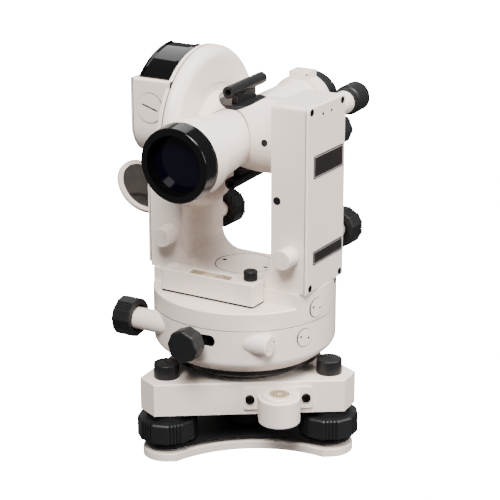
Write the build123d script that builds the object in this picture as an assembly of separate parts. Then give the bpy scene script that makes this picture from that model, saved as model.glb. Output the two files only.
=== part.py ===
from build123d import *
import math
import os

# Theodolite, millimetres. +Z is the vertical axis, +X the trunnion axis towards the plain standard,
# and the objective looks towards -Y. The origin is the tripod thread at the foot of the base plate.

# Driving sizes of the whole instrument
TRUNNION_Z = 225.1
BASE_TURN = 34.6
TELESCOPE_DIP = 2.3
FIT = 0.05
GAP = 0.3

# Base plate, spring plate and tripod thread
FOOT_RADIUS = 66.0
FOOT_ANGLES = (-150.0, -30.0, 90.0)
PLATE_CORNER_R = 17.5
PLATE_THICK = 6.0
TRIPOD_BORE_R = 6.9
TRIPOD_HUB_R = 15.0
TRIPOD_HUB_TOP = 18.0
SPRING_CORNER_R = 16.0
SPRING_THICK = 2.2
SPRING_GAP = 3.0

# Foot screws
FOOT_STEM_R = 4.0
FOOT_BALL_R = 5.5
FOOT_KNOB_R = 21.3
FOOT_KNOB_BOTTOM = 14.5
FOOT_KNOB_HEIGHT = 14.3
FOOT_KNOB_TURNS = (43.7, 28.7, 0.0)
FOOT_HUB_R = 14.5
FOOT_STEM_TOP = 62.0
BUSH_R = 9.0
BUSH_TOP = 68.4

# Knob grips, in degrees and as shares of the knob's radius
GRIP_SIDES = 12
GRIP_STEP = 360 / GRIP_SIDES
GRIP_CORNER = 0.12
GRIP_EDGE = 0.05
GRIP_GROOVES = 4
GRIP_PITCH = 0.115
GRIP_GROOVE = 0.05

# Levelling body
TRIBRACH_BOTTOM = 34.3
TRIBRACH_TOP = 58.0
TRIBRACH_SIDE = 49.0
TRIBRACH_TIP = 82.2
TRIBRACH_WALL = 6.0
TRIBRACH_ROOF = 8.0
ARM_BOSS_R = 13.0
SOCKET_R = 26.0

# Circular level on the front face of the levelling body
ROUND_LEVEL_X = 19.5
ROUND_LEVEL_R = 14.5
ROUND_LEVEL_OUT = 13.0
ROUND_LEVEL_TOP = 52.5
ROUND_LEVEL_BOTTOM = 34.0
ROUND_VIAL_R = 11.6
ROUND_VIAL_RISE = 2.1
ROUND_VIAL_DEPTH = 9.0
FLANGE_Z = 46.4
FLANGE_HALF = 24.2
FLANGE_HEIGHT = 15.6
FLANGE_THICK = 2.0
FLANGE_SCREW_R = 3.2
FLANGE_SCREW_HEAD = 1.8
FLANGE_SHANK_R = 1.5
FLANGE_SCREW_OFFSET = 19.6

# Vertical axis
SLEEVE_R = 19.0
SPINDLE_R = 12.0
CONE_RIM = 3.0
CIRCLE_THICK = 2.8
SPINDLE_FLANGE_R = 19.0

# Lower housing, the bowl
HOUSING_R = 65.0
HOUSING_BOTTOM = 69.1
HOUSING_SEAM = 101.9
BOWL_FLOOR = 5.0
BOWL_SHOULDER_R = 6.0
SEAM_ROUND = 0.45

# Upper housing with the two standards
LEDGE_ROUND = 1.0
SHOULDER_Y = 28.9
STANDARD_Y = 26.7
STANDARD_TOP = 254.0
LEFT_INNER_X = -34.5
LEFT_OUTER_X = -61.7
COVER_THICK = 2.0
COVER_EDGE = 1.1
COVER_GROOVE = 0.4
COVER_HOLE_R = 0.9
COVER_HOLES = ((-6.0, 246.8), (6.0, 246.8))
POCKET_Y = 13.0
INNER_WALL = 4.0
FORK_FILLET = 16.0
TOP_FILLET = 3.0
CENTRE_PLATE_R = 21.0
CENTRE_PLATE_THICK = 3.0
CENTRE_HOLE_X = 16.7
CENTRE_HOLE_R = 1.3

# Vertical circle housing on the left standard
CIRCLE_BOX_Y = 45.0
CIRCLE_BOX_FOOT = 209.0
CIRCLE_BOX_TOP = 264.3
CIRCLE_BOX_INNER_X = -31.3
CIRCLE_BOX_WALL_X = -42.0
RING_POCKET_R = 20.0
CIRCLE_COVER_R = 57.0
CIRCLE_COVER_FACE_X = -22.3
CIRCLE_COVER_FILLET = 8.4
CIRCLE_CAVITY_R = 52.0
CIRCLE_CAVITY_FACE_X = -25.4
CIRCLE_OPENING_R = 31.2
VERTICAL_CIRCLE_R = 45.0
VERTICAL_CIRCLE_X = -30.4
VERTICAL_CIRCLE_THICK = 3.0
PLUG_R = 10.5
PLUG_X = -47.9
PLUG_Z = 245.0
PLUG_RISE = 0.8
PLUG_SLOT = 13.6
PLUG_SLOT_WIDTH = 1.8
PLUG_SLOT_TURN = -16.7
HOOD_R = 57.5
HOOD_BAND = 0.8
HOOD_WALL = 3.0
HOOD_X = (-59.0, -34.5)
HOOD_BAND_X = (-57.3, -37.6)
HOOD_Y = (-40.3, -1.0)

# Trunnion axle and bearings
AXLE_R = 8.0
BEARING_R = 12.0
BEARING_LEFT_END = -56.0

# Plate level in front of the standards
LEVEL_X = (-41.5, 33.0)
LEVEL_Y = (-45.0, -29.2)
GASKET = 0.8
LEVEL_WINDOW_X = (-21.0, 11.5)
LEVEL_WINDOW_WIDTH = 8.0
LEVEL_WINDOW_BEVEL = 1.4
LEVEL_VIAL_R = 4.5
LEVEL_VIAL_X = (-30.0, 20.0)
LEVEL_VIAL_Y = -38.0
ADJUSTER_X = 25.5
ADJUSTER_Y = -35.3
ADJUSTER_SHANK_R = 2.0
ADJUSTER_DEPTH = 10.0
ADJUSTER_GROOVES = 20
ADJUSTER_R = 4.8
ADJUSTER_HEIGHT = 7.0

# Slow-motion drives: one across the bowl, one in each standard
DRIVE_TUBE_R = 7.8
DRIVE_CAP_R = 7.2
DRIVE_PIN_R = 3.0
DRIVE_SCREW_R = 2.0
DRIVE_KNOB_R = 14.0
DRIVE_KNOB_LENGTH = 14.0
KNOB_RECESS_R = 9.5
KNOB_RECESS = 2.5
ACROSS_LUG = 6.0
SIDE_LUG = 3.0
PIN_LENGTH = 17.0
DRIVE_PLAY = 0.4
SCREW_ENGAGED = 7.0
CAP_HOLE_PITCH = 10.4
CAP_HOLE_TURN = 21.7
SPANNER_HOLE_R = 0.9
SPANNER_HOLE_DEPTH = 2.0
ACROSS_KNOB_TURN = 10.4
LEFT_DRIVE_X = -45.3
STANDARD_KNOB = 40.5
STANDARD_CAP = 39.5
STANDARD_TUBE_R = 6.0
STANDARD_CAP_R = 7.0

# Clamps
CLAMP_ENGAGED = 5.0
SIDE_CLAMP_GAP = 3.5
CLAMP_SWING = 1.6
COLLAR_R = 27.0
COLLAR_HEIGHT = 8.0
CLAMP_SHANK_R = 3.4
CLAMP_KNOB_R = 11.9
CLAMP_KNOB_LENGTH = 12.0
SLOT_HALF = 14.0
SLOT_HEIGHT = 8.4
SIDE_CLAMP_R = 11.5
SIDE_CLAMP_LENGTH = 12.0
ARM_RING_R = 17.0
ARM_THICK = 6.0
INDEX_VIAL_R = 3.5
INDEX_VIAL_HALF = 11.0

# Illuminating mirror on the left cover
MIRROR_R = 21.0
MIRROR_THICK = 3.3
MIRROR_GLASS_R = 17.5
MIRROR_GLASS_THICK = 1.2
MIRROR_OPEN = 40.0
MIRROR_SWIVEL = 11.7
WINDOW_Y = -8.0
WINDOW_R = 11.0
WINDOW_DEPTH = 18.0
SWIVEL_R = 12.5
SWIVEL_RISE = 1.9
MIRROR_RING_R = 15.0
MIRROR_RING_THICK = 1.6
MIRROR_PIN_R = 1.5
MIRROR_PIN_DROP = 21.2
MIRROR_PIN_OUT = 2.8
MIRROR_KNUCKLE_R = 2.4
KNUCKLE_HALF = 5.4
HINGE_LUG_THICK = 3.0

# Telescope, measured from the trunnion centre along the line of sight
DRUM_R = 26.0
DRUM_FLAT = 19.6
DRUM_FLANGE_R = 30.8
DRUM_RIGHT_X = 35.7
TUBE_ROOT_R = 19.8
TUBE_FRONT_R = 23.4
CELL_R = 26.0
CELL_BACK = 64.0
CELL_FRONT = 77.8
RING_FRONT = 90.4
RING_R = 25.3
RING_FLANGE_R = 26.5
RING_LIP_R = 20.5
LENS_R = 20.0
REAR_TUBE_R = 19.3
REAR_SEAM = 75.0
REAR_RING_R = 21.5
REAR_RING_END = 88.0
FOCUS_R = 21.0
FOCUS_END = 101.0
EYEPIECE_R = 14.0
EYEPIECE_END = 112.0
NECK_R = 12.0
EYE_BORE_R = 9.0
EYE_LENS_R = 6.0
EYE_SHANK = 8.0
SPIGOT = 6.0
CELL_BORE_R = 22.0
REAR_SPIGOT_R = 17.0
LENS_SEAT_R = 18.0
LENS_BACK = 78.5
LENS_FRONT = 85.0
LENS_EDGE = 4.0
LENS_DOME = 2.0
REAR_BLOCK_X = (-7.2, 8.8)
REAR_BLOCK_Y = (75.3, 87.6)
REAR_BLOCK_TOP = 25.0
REAR_BLOCK_HOLE = (7.2, 22.8)
CIRCLE_HUB_R = 14.0
AXLE_BORE_R = 3.0
AXLE_SEATS = ((-70.0, -16.5), (17.0, 70.0))
TUBE_BORE_R = 15.0
SIGHT_BASE_R = 17.3
SIGHT_BASE_THICK = 2.7
SIGHT_HEIGHT = 32.3
SIGHT_TUBE_R = 4.2
SIGHT_Y = (-20.9, 24.6)
SIGHT_BORE_R = 2.2
SIGHT_WEB = 5.0
SIGHT_WEB_HALF = 12.0
MICRO_X = 33.5
MICRO_Z = 4.0
MICRO_R = 8.3
MICRO_START = 51.5
MICRO_END = 84.0
MICRO_RIM_R = 10.8
MICRO_STEP_R = 9.7
MICRO_STEP_Y = 87.6
MICRO_BORE_R = 6.0
MICRO_LENS_R = 4.0
MICRO_EYE_END = 104.5
MICRO_BRIDGE_END = 64.0

# Plugs and small screws
BOWL_PLUG_R = 6.5
BOWL_PLUG_ANGLE = -20.5
BOWL_PLUG_PITCH = 7.1
BOWL_PLUG_TURN = -16.6
RING_PLUG_R = 7.0
RING_PLUG_ANGLE = -10.3
LEVEL_PLUG = (-37.0, -35.5)
LEVEL_PLUG_R = 3.4
PLUG_SEAT = 3.0
PLUG_HEAD = 0.6
COVER_SCREW_R = 2.5
COVER_SCREW_INSET = 3.5
COVER_SCREW_SIDE = 5.2
SCREW_HEAD = 1.2
CROSS_SLOT = 0.7

# Sizes worked out from the driving ones
LEDGE_Z = HOUSING_SEAM + 13.0
SHOULDER_Z = LEDGE_Z + 9.6
FLOOR_Z = SHOULDER_Z + 4.2
POCKET_FOOT = FLOOR_Z + 4.3
LEFT_COVER_FOOT = SHOULDER_Z + 3.0
SLEEVE_TOP = HOUSING_SEAM - 3.9
LEVEL_TOP = LEDGE_Z + 16.6
LEVEL_VIAL_Z = LEVEL_TOP - 6.5
ACROSS_Z = HOUSING_SEAM - 9.3
CLAMP_Z = HOUSING_SEAM - 8.4
LUG_POCKET_FOOT = HOUSING_BOTTOM + 8.9
RING_CAVITY_TOP = LEDGE_Z - 4.9
STANDARD_DRIVE_Z = FLOOR_Z + 22.4
BOWL_PLUG_Z = HOUSING_SEAM - 9.4
RING_PLUG_Z = HOUSING_SEAM + 9.5
BOWL_SHOULDER = HOUSING_BOTTOM + 7.3
BOWL_FOOT_R = HOUSING_R - 9.2
BOWL_CAVITY_R = HOUSING_R - 19.0
CIRCLE_R = BOWL_CAVITY_R - 3.0
CONE_TOP_R = HOUSING_R - 9.5
CONE_FOOT_R = CONE_TOP_R - 13.5
LUG_POCKET_R = HOUSING_R - 3.5
LUG_REACH = HOUSING_R - 5.0
CLAMP_REACH = HOUSING_R + 7.0
ACROSS_Y = 15.3 - HOUSING_R
ACROSS_CAP = HOUSING_R - 15.3
ACROSS_KNOB = HOUSING_R - 7.3
RIGHT_OUTER_X = HOUSING_R - 2.8
RIGHT_INNER_X = RIGHT_OUTER_X - 25.9
RIGHT_DRIVE_X = RIGHT_OUTER_X - 10.7
BEARING_RIGHT_END = RIGHT_OUTER_X - 4.2
CIRCLE_BOX_CORNER = 0.4 * (CIRCLE_BOX_TOP - CIRCLE_BOX_FOOT)
WINDOW_Z = CIRCLE_BOX_FOOT - 28.0
SPRING_BOTTOM = PLATE_THICK + SPRING_GAP
FOOT_SEAT_DEPTH = PLATE_THICK / 2
ROUND_VIAL_FOOT = ROUND_LEVEL_TOP - ROUND_VIAL_DEPTH
CIRCLE_TOP = SLEEVE_TOP + CIRCLE_THICK
SPINDLE_SHOULDER = CIRCLE_TOP + GAP
CENTRE_SEAT = FLOOR_Z - CENTRE_PLATE_THICK
COVER_FOOT = SHOULDER_Z
COVER_FACE_X = RIGHT_OUTER_X + COVER_THICK
LEFT_FACE_X = LEFT_OUTER_X - COVER_THICK
LUG_TOP = ACROSS_Z + 6.5
ACROSS_TUBE_END = ACROSS_LUG + 4.0
SIDE_TUBE_END = POCKET_Y - 1.3
CIRCLE_FACE_X = VERTICAL_CIRCLE_X + VERTICAL_CIRCLE_THICK


# Shape helpers

ON_FOOT = (Align.CENTER, Align.CENTER, Align.MIN)
ON_TOP = (Align.CENTER, Align.CENTER, Align.MAX)


def rod(radius, start, end):
    """Cylinder on +Z from one height to another."""
    return Pos(0, 0, start) * Cylinder(radius, end - start, align=ON_FOOT)


def tube(outer, inner, start, end):
    """Hollow cylinder on +Z."""
    return rod(outer, start, end) - rod(inner, start - 1, end + 1)


def block(x, y, z):
    """Box between two limits on each axis."""
    low = (min(x), min(y), min(z))
    size = (abs(x[1] - x[0]), abs(y[1] - y[0]), abs(z[1] - z[0]))
    return Pos(*low) * Box(*size, align=(Align.MIN, Align.MIN, Align.MIN))


def turned(points, rounds=()):
    """Solid of revolution about Z from (radius, height) corners, some of them rounded."""
    outline = make_face(Polyline(*points, close=True))
    for corner, radius in rounds:
        vertex = outline.vertices().sort_by_distance(points[corner])[0]
        outline = fillet(vertex, radius)
    return revolve(Plane.XZ * outline, axis=Axis.Z)


def frame_at(origin, z_dir, x_dir):
    """Location whose local +Z runs along z_dir."""
    return Plane(origin=origin, x_dir=x_dir, z_dir=z_dir).location


def grip(radius, length):
    """Twelve-sided grip with grooves on every other side."""
    side = radius * math.cos(math.radians(GRIP_STEP / 2))
    depth = GRIP_GROOVE * radius
    outline = RegularPolygon(radius, GRIP_SIDES, rotation=GRIP_STEP / 2)
    outline = fillet(outline.vertices(), GRIP_CORNER * radius)
    body = extrude(outline, length)
    for rim in (body.edges().group_by(Axis.Z)[0], body.edges().group_by(Axis.Z)[-1]):
        body = chamfer(rim, GRIP_EDGE * radius)
    cutter = Box(2 * depth, depth, 2 * length)
    middle = (GRIP_GROOVES - 1) / 2
    offsets = [(groove - middle) * GRIP_PITCH * radius for groove in range(GRIP_GROOVES)]
    turns = [2 * GRIP_STEP * patch for patch in range(GRIP_SIDES // 2)]
    return body - [Rot(0, 0, turn) * Pos(side, offset, 0) * cutter for turn in turns for offset in offsets]


def feet():
    """Centre of each foot screw in the turned base."""
    angles = [math.radians(angle) for angle in FOOT_ANGLES]
    return [(FOOT_RADIUS * math.cos(a), FOOT_RADIUS * math.sin(a)) for a in angles]


def star_outline(corner_radius):
    """Triangle with round corners at the feet and hollow sides tangent to them."""
    half = FOOT_RADIUS * math.sin(math.radians(60))
    hollow = (half ** 2 - corner_radius ** 2) / (2 * corner_radius)
    reach = FOOT_RADIUS * math.cos(math.radians(60)) + hollow
    corners = Polyline(*feet(), close=True)
    outline = offset(make_face(corners), corner_radius)
    for angle in FOOT_ANGLES:
        side = math.radians(angle + 60)
        outline -= Pos(reach * math.cos(side), reach * math.sin(side)) * Circle(hollow)
    return outline


def turn_base(solid):
    """Swing a base piece to the bearing at which the instrument stands."""
    return Rot(0, 0, BASE_TURN) * solid


def tilt_telescope(solid):
    """Put a telescope piece on the trunnion axis with its small dip."""
    return Pos(0, 0, TRUNNION_Z) * Rot(TELESCOPE_DIP, 0, 0) * solid


def along_sight(solid):
    """Turn a solid made along +Z so that it runs along +Y."""
    return frame_at((0, 0, 0), (0, 1, 0), (1, 0, 0)) * solid


parts = {}


# Base plate with the tripod thread, and the spring plate that holds the foot screws down

def base_plate():
    plate = extrude(star_outline(PLATE_CORNER_R), PLATE_THICK)
    plate = fillet(plate.edges().group_by(Axis.Z)[-1], 0.8)
    plate += rod(TRIPOD_HUB_R, 0, TRIPOD_HUB_TOP)
    plate -= rod(TRIPOD_BORE_R, -1, TRIPOD_HUB_TOP + 1)
    for x, y in feet():
        plate -= Pos(x, y, PLATE_THICK) * rod(FOOT_BALL_R + GAP, -FOOT_SEAT_DEPTH, 1)
        plate += Pos(x, y, 0) * tube(FOOT_BALL_R + 3, FOOT_BALL_R + GAP, PLATE_THICK - 1, SPRING_BOTTOM)
    return plate


def spring_plate():
    plate = extrude(star_outline(SPRING_CORNER_R), SPRING_THICK)
    plate = Pos(0, 0, SPRING_BOTTOM) * plate
    plate -= rod(TRIPOD_HUB_R + GAP, 0, TRIPOD_HUB_TOP)
    for x, y in feet():
        plate -= Pos(x, y, 0) * rod(FOOT_STEM_R + 2 * FIT, 0, FOOT_KNOB_BOTTOM)
    return plate


def foot_screw(turn):
    """Grip, hub, threaded stem and foot pad in one turned piece."""
    screw = Pos(0, 0, FOOT_KNOB_BOTTOM) * Rot(0, 0, turn) * grip(FOOT_KNOB_R, FOOT_KNOB_HEIGHT)
    hub_foot = FOOT_KNOB_BOTTOM + FOOT_KNOB_HEIGHT
    screw += rod(FOOT_HUB_R, hub_foot, TRIBRACH_BOTTOM - GAP)
    screw += rod(FOOT_STEM_R, SPRING_BOTTOM - 1, FOOT_STEM_TOP)
    screw += rod(FOOT_BALL_R, PLATE_THICK - FOOT_SEAT_DEPTH + FIT, SPRING_BOTTOM - GAP)
    return screw


parts["base_plate"] = turn_base(base_plate())
parts["spring_plate"] = turn_base(spring_plate())
for number, ((foot_x, foot_y), turn) in enumerate(zip(feet(), FOOT_KNOB_TURNS), start=1):
    parts[f"foot_screw_{number}"] = turn_base(Pos(foot_x, foot_y, 0) * foot_screw(turn))


# Levelling body: a three-armed casting, hollow below, with bushes for the foot screws

def tribrach_outline(inset):
    """Triangle with its three tips cut square."""
    points = []
    side = TRIBRACH_SIDE - inset
    tip = TRIBRACH_TIP - inset
    for angle in FOOT_ANGLES:
        for turn in (-60, 60):
            tip_n = math.radians(angle)
            side_n = math.radians(angle + turn)
            det = math.sin(side_n - tip_n)
            x = (tip * math.sin(side_n) - side * math.sin(tip_n)) / det
            y = (side * math.cos(tip_n) - tip * math.cos(side_n)) / det
            points.append((x, y))
    return make_face(Polyline(*points, close=True))


def tribrach_body():
    body = extrude(tribrach_outline(0), TRIBRACH_TOP - TRIBRACH_BOTTOM)
    body = fillet(body.edges().group_by(Axis.Z)[-1], 1.2)
    hollow = extrude(tribrach_outline(TRIBRACH_WALL), TRIBRACH_TOP - TRIBRACH_BOTTOM - TRIBRACH_ROOF)
    hollow -= rod(SOCKET_R, -1, 100)
    for x, y in feet():
        hollow -= Pos(x, y, 0) * rod(ARM_BOSS_R, -1, 100)
    body -= hollow
    body = Pos(0, 0, TRIBRACH_BOTTOM) * body
    body -= rod(SLEEVE_R + FIT, 0, 100)
    for x, y in feet():
        body -= Pos(x, y, 0) * rod(BUSH_R + FIT, 0, 100)
    flange = FLANGE_SCREW_OFFSET
    for side in (-flange, flange):
        hole = frame_at((ROUND_LEVEL_X + side, -TRIBRACH_SIDE, FLANGE_Z), (0, 1, 0), (1, 0, 0))
        body -= hole * rod(FLANGE_SHANK_R + FIT, -1, TRIBRACH_WALL)
    return body


def foot_bush():
    bush = rod(BUSH_R, TRIBRACH_BOTTOM + 1, BUSH_TOP)
    bush = fillet(bush.edges().group_by(Axis.Z)[-1], 0.8)
    bush -= rod(FOOT_STEM_R + FIT, 0, FOOT_STEM_TOP + 2)
    bush -= rod(0.8, 0, BUSH_TOP + 1)
    return bush


parts["tribrach_body"] = turn_base(tribrach_body())
parts["foot_screw_bushes"] = turn_base(Part() + [Pos(x, y, 0) * foot_bush() for x, y in feet()])


# Circular level: a cup on a flange, screwed to the front face of the levelling body

def round_level_housing():
    centre_y = -TRIBRACH_SIDE - ROUND_LEVEL_OUT
    cup = Pos(ROUND_LEVEL_X, centre_y, 0) * rod(ROUND_LEVEL_R, ROUND_LEVEL_BOTTOM, ROUND_LEVEL_TOP)
    cup = fillet(cup.edges().group_by(Axis.Z)[0], 1.2)
    cup = fillet(cup.edges().group_by(Axis.Z)[-1], 0.8)
    cup -= block((-100, 100), (-TRIBRACH_SIDE, 0), (0, ROUND_LEVEL_TOP + 1))
    web_x = (ROUND_LEVEL_X - ROUND_LEVEL_R, ROUND_LEVEL_X + ROUND_LEVEL_R)
    cup += block(web_x, (centre_y, -TRIBRACH_SIDE), (TRIBRACH_BOTTOM + 2, ROUND_LEVEL_TOP - 2))
    flange_x = (ROUND_LEVEL_X - FLANGE_HALF, ROUND_LEVEL_X + FLANGE_HALF)
    flange_z = (FLANGE_Z - FLANGE_HEIGHT / 2, FLANGE_Z + FLANGE_HEIGHT / 2)
    flange = block(flange_x, (-TRIBRACH_SIDE - FLANGE_THICK, -TRIBRACH_SIDE), flange_z)
    cup += fillet(flange.edges().filter_by(Axis.Y), 2.0)
    cup -= Pos(ROUND_LEVEL_X, centre_y, 0) * rod(ROUND_VIAL_R + FIT, ROUND_VIAL_FOOT, 100)
    for side in (-FLANGE_SCREW_OFFSET, FLANGE_SCREW_OFFSET):
        hole = frame_at((ROUND_LEVEL_X + side, -TRIBRACH_SIDE, FLANGE_Z), (0, 1, 0), (1, 0, 0))
        cup -= hole * rod(FLANGE_SHANK_R + FIT, -10, 10)
    return cup


def round_level_vial():
    vial = rod(ROUND_VIAL_R, ROUND_VIAL_FOOT, ROUND_LEVEL_TOP + ROUND_VIAL_RISE)
    vial = fillet(vial.edges().group_by(Axis.Z)[-1], 1.2)
    return Pos(ROUND_LEVEL_X, -TRIBRACH_SIDE - ROUND_LEVEL_OUT, 0) * vial


def round_level_screw(side):
    face = -FLANGE_THICK - FLANGE_SCREW_HEAD
    head = rod(FLANGE_SCREW_R, face, -FLANGE_THICK)
    head = fillet(head.edges().group_by(Axis.Z)[0], 0.6)
    socket = extrude(RegularPolygon(FLANGE_SHANK_R, 6), 1.2)
    head -= Pos(0, 0, face) * socket
    screw = head + rod(FLANGE_SHANK_R, -FLANGE_THICK - 0.5, TRIBRACH_WALL - 1)
    return frame_at((ROUND_LEVEL_X + side, -TRIBRACH_SIDE, FLANGE_Z), (0, 1, 0), (1, 0, 0)) * screw


flange_screws = [round_level_screw(side) for side in (-FLANGE_SCREW_OFFSET, FLANGE_SCREW_OFFSET)]
parts["circular_level_housing"] = turn_base(round_level_housing())
parts["circular_level_vial"] = turn_base(round_level_vial())
parts["circular_level_screws"] = turn_base(Part() + flange_screws)


# Vertical axis: sleeve and black cone on the base, graduated circle, spindle on the alidade

def axis_sleeve():
    sleeve = tube(SLEEVE_R, SPINDLE_R + FIT, TRIBRACH_BOTTOM + 2, SLEEVE_TOP)
    return sleeve


def centring_cone():
    rim_bottom = HOUSING_BOTTOM - GAP - CONE_RIM
    points = [
        (SLEEVE_R + FIT, TRIBRACH_TOP),
        (CONE_FOOT_R, TRIBRACH_TOP),
        (CONE_TOP_R, rim_bottom),
        (CONE_TOP_R, HOUSING_BOTTOM - GAP),
        (SLEEVE_R + FIT, HOUSING_BOTTOM - GAP),
    ]
    cone = turned(points)
    for x, y in feet():
        cone -= Pos(x, y, 0) * rod(BUSH_R + GAP, 0, 100)
    return cone


def horizontal_circle():
    return tube(CIRCLE_R, SPINDLE_R + 1, SLEEVE_TOP, CIRCLE_TOP)


def vertical_spindle():
    spindle = rod(SPINDLE_R, TRIBRACH_BOTTOM + 4, SPINDLE_SHOULDER)
    spindle = chamfer(spindle.edges().group_by(Axis.Z)[0], 1.0)
    return spindle + rod(SPINDLE_FLANGE_R, SPINDLE_SHOULDER, CENTRE_SEAT)


parts["axis_sleeve"] = turn_base(axis_sleeve())
parts["centring_cone"] = turn_base(centring_cone())
parts["horizontal_circle"] = turn_base(horizontal_circle())
parts["vertical_spindle"] = vertical_spindle()


# Slow-motion drive along local +Z: knob and screw, pushing pin, tube, spring plunger and its cap

def drive_knob(knob_at, lug, turn=0):
    """Knob whose inner face lies at -knob_at, with its screw reaching into the pin."""
    pin_back = -lug - PIN_LENGTH
    knob = Pos(0, 0, -knob_at - DRIVE_KNOB_LENGTH) * Rot(0, 0, turn) * grip(DRIVE_KNOB_R, DRIVE_KNOB_LENGTH)
    knob -= rod(KNOB_RECESS_R, -knob_at - KNOB_RECESS, -knob_at + 1)
    return knob + rod(DRIVE_SCREW_R, -knob_at - KNOB_RECESS - 1, pin_back + SCREW_ENGAGED)


def drive_pin(lug):
    pin_back = -lug - PIN_LENGTH
    pin = rod(DRIVE_PIN_R, pin_back, -lug - DRIVE_PLAY)
    return pin - rod(DRIVE_SCREW_R + FIT, pin_back - 1, pin_back + SCREW_ENGAGED + 5)


def drive_plunger(lug):
    return rod(DRIVE_PIN_R, lug + DRIVE_PLAY, lug + PIN_LENGTH)


def drive_tube(radius, knob_at, inner_end):
    outer_end = knob_at + KNOB_RECESS - GAP
    sleeve = tube(radius, DRIVE_PIN_R + FIT, -outer_end, -inner_end)
    return chamfer(sleeve.edges().group_by(Axis.Z)[0], 0.5)


def drive_cap(radius, inner_end, cap_at, lug):
    cap = rod(radius, inner_end, cap_at)
    cap = fillet(cap.edges().group_by(Axis.Z)[-1], 0.8)
    return cap - rod(DRIVE_PIN_R + FIT, 0, lug + PIN_LENGTH + 6)


def spanner_holes(at, spacing, turn):
    """Two pin-spanner holes in a round face at a height, along local Y before the turn."""
    drill = rod(SPANNER_HOLE_R, at - SPANNER_HOLE_DEPTH, at + 1)
    pair = [Pos(0, side * spacing / 2, 0) * drill for side in (-1, 1)]
    return [Rot(0, 0, turn) * hole for hole in pair]


across = frame_at((0, ACROSS_Y, ACROSS_Z), (1, 0, 0), (0, -1, 0))
right_drive = frame_at((RIGHT_DRIVE_X, 0, STANDARD_DRIVE_Z), (0, -1, 0), (1, 0, 0))
left_drive = frame_at((LEFT_DRIVE_X, 0, STANDARD_DRIVE_Z), (0, -1, 0), (1, 0, 0))

parts["horizontal_tangent_knob"] = across * drive_knob(ACROSS_KNOB, ACROSS_LUG, ACROSS_KNOB_TURN)
parts["horizontal_tangent_pin"] = across * drive_pin(ACROSS_LUG)
parts["horizontal_plunger"] = across * drive_plunger(ACROSS_LUG)
across_cap = drive_cap(DRIVE_CAP_R, ACROSS_TUBE_END, ACROSS_CAP, ACROSS_LUG)
across_cap -= spanner_holes(ACROSS_CAP, CAP_HOLE_PITCH, CAP_HOLE_TURN + 90)
across_tube = drive_tube(DRIVE_TUBE_R, ACROSS_KNOB, ACROSS_TUBE_END)
parts["horizontal_drive_housings"] = across * (across_tube + across_cap)

side_tube = drive_tube(STANDARD_TUBE_R, STANDARD_KNOB, SIDE_TUBE_END)
side_cap = drive_cap(STANDARD_CAP_R, SIDE_TUBE_END, STANDARD_CAP, SIDE_LUG)
side_housing = side_tube + side_cap
for side_name, place in (("vertical", right_drive), ("index", left_drive)):
    parts[f"{side_name}_tangent_knob"] = place * drive_knob(STANDARD_KNOB, SIDE_LUG)
    parts[f"{side_name}_tangent_pin"] = place * drive_pin(SIDE_LUG)
    parts[f"{side_name}_plunger"] = place * drive_plunger(SIDE_LUG)
parts["standard_drive_housings"] = right_drive * side_housing + left_drive * side_housing


# Lower housing: a bowl whose rim carries the slow-motion drive, with a pocket for the clamp lug

def plug_frame(angle, height):
    """Frame on the round housing wall whose local +Z points outward."""
    turn = math.radians(angle)
    out = (math.cos(turn), math.sin(turn), 0)
    across_wall = (-math.sin(turn), math.cos(turn), 0)
    return frame_at((HOUSING_R * out[0], HOUSING_R * out[1], height), out, across_wall)


bowl_plug_place = plug_frame(BOWL_PLUG_ANGLE, BOWL_PLUG_Z)
ring_plug_place = plug_frame(RING_PLUG_ANGLE, RING_PLUG_Z)


def lower_housing():
    floor_top = HOUSING_BOTTOM + BOWL_FLOOR
    points = [
        (SLEEVE_R + 1, HOUSING_BOTTOM),
        (BOWL_FOOT_R, HOUSING_BOTTOM),
        (HOUSING_R, BOWL_SHOULDER),
        (HOUSING_R, HOUSING_SEAM),
        (BOWL_CAVITY_R, HOUSING_SEAM),
        (BOWL_CAVITY_R, floor_top),
        (SLEEVE_R + 1, floor_top),
    ]
    bowl = turned(points, [(2, BOWL_SHOULDER_R), (3, SEAM_ROUND)])
    pocket = rod(LUG_POCKET_R, LUG_POCKET_FOOT, HOUSING_SEAM + 1)
    bowl -= pocket & block((-SLOT_HALF, SLOT_HALF), (-HOUSING_R, 0), (0, HOUSING_SEAM + 1))
    slot = SlotOverall(2 * SLOT_HALF, SLOT_HEIGHT)
    slot_place = frame_at((0, -HOUSING_R, CLAMP_Z), (0, -1, 0), (1, 0, 0))
    bowl -= slot_place * extrude(slot, HOUSING_R - LUG_POCKET_R + 1, both=True)
    bowl -= across * rod(DRIVE_TUBE_R + FIT, -HOUSING_R, 0)
    bowl -= across * rod(DRIVE_CAP_R + FIT, 0, HOUSING_R)
    return bowl - bowl_plug_place * rod(BOWL_PLUG_R + FIT, -PLUG_SEAT, 10)


parts["lower_housing"] = lower_housing()


# Horizontal clamp: a collar on the sleeve whose lug stands between the drive pins

def clamp_collar():
    foot = LUG_POCKET_FOOT + 2
    collar = tube(COLLAR_R, SLEEVE_R + FIT, foot, foot + COLLAR_HEIGHT)
    arm = block((-ACROSS_LUG, ACROSS_LUG), (-LUG_REACH, -SLEEVE_R - 4), (foot, foot + COLLAR_HEIGHT))
    post = block((-ACROSS_LUG, ACROSS_LUG), (-LUG_REACH, -BOWL_CAVITY_R), (foot, LUG_TOP))
    collar += arm + post
    slit = block((-0.6, 0.6), (SLEEVE_R - 2, COLLAR_R + 1), (foot - 1, foot + COLLAR_HEIGHT + 1))
    collar -= slit
    return collar - clamp_place * rod(CLAMP_SHANK_R + FIT, -8, 10)


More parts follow.
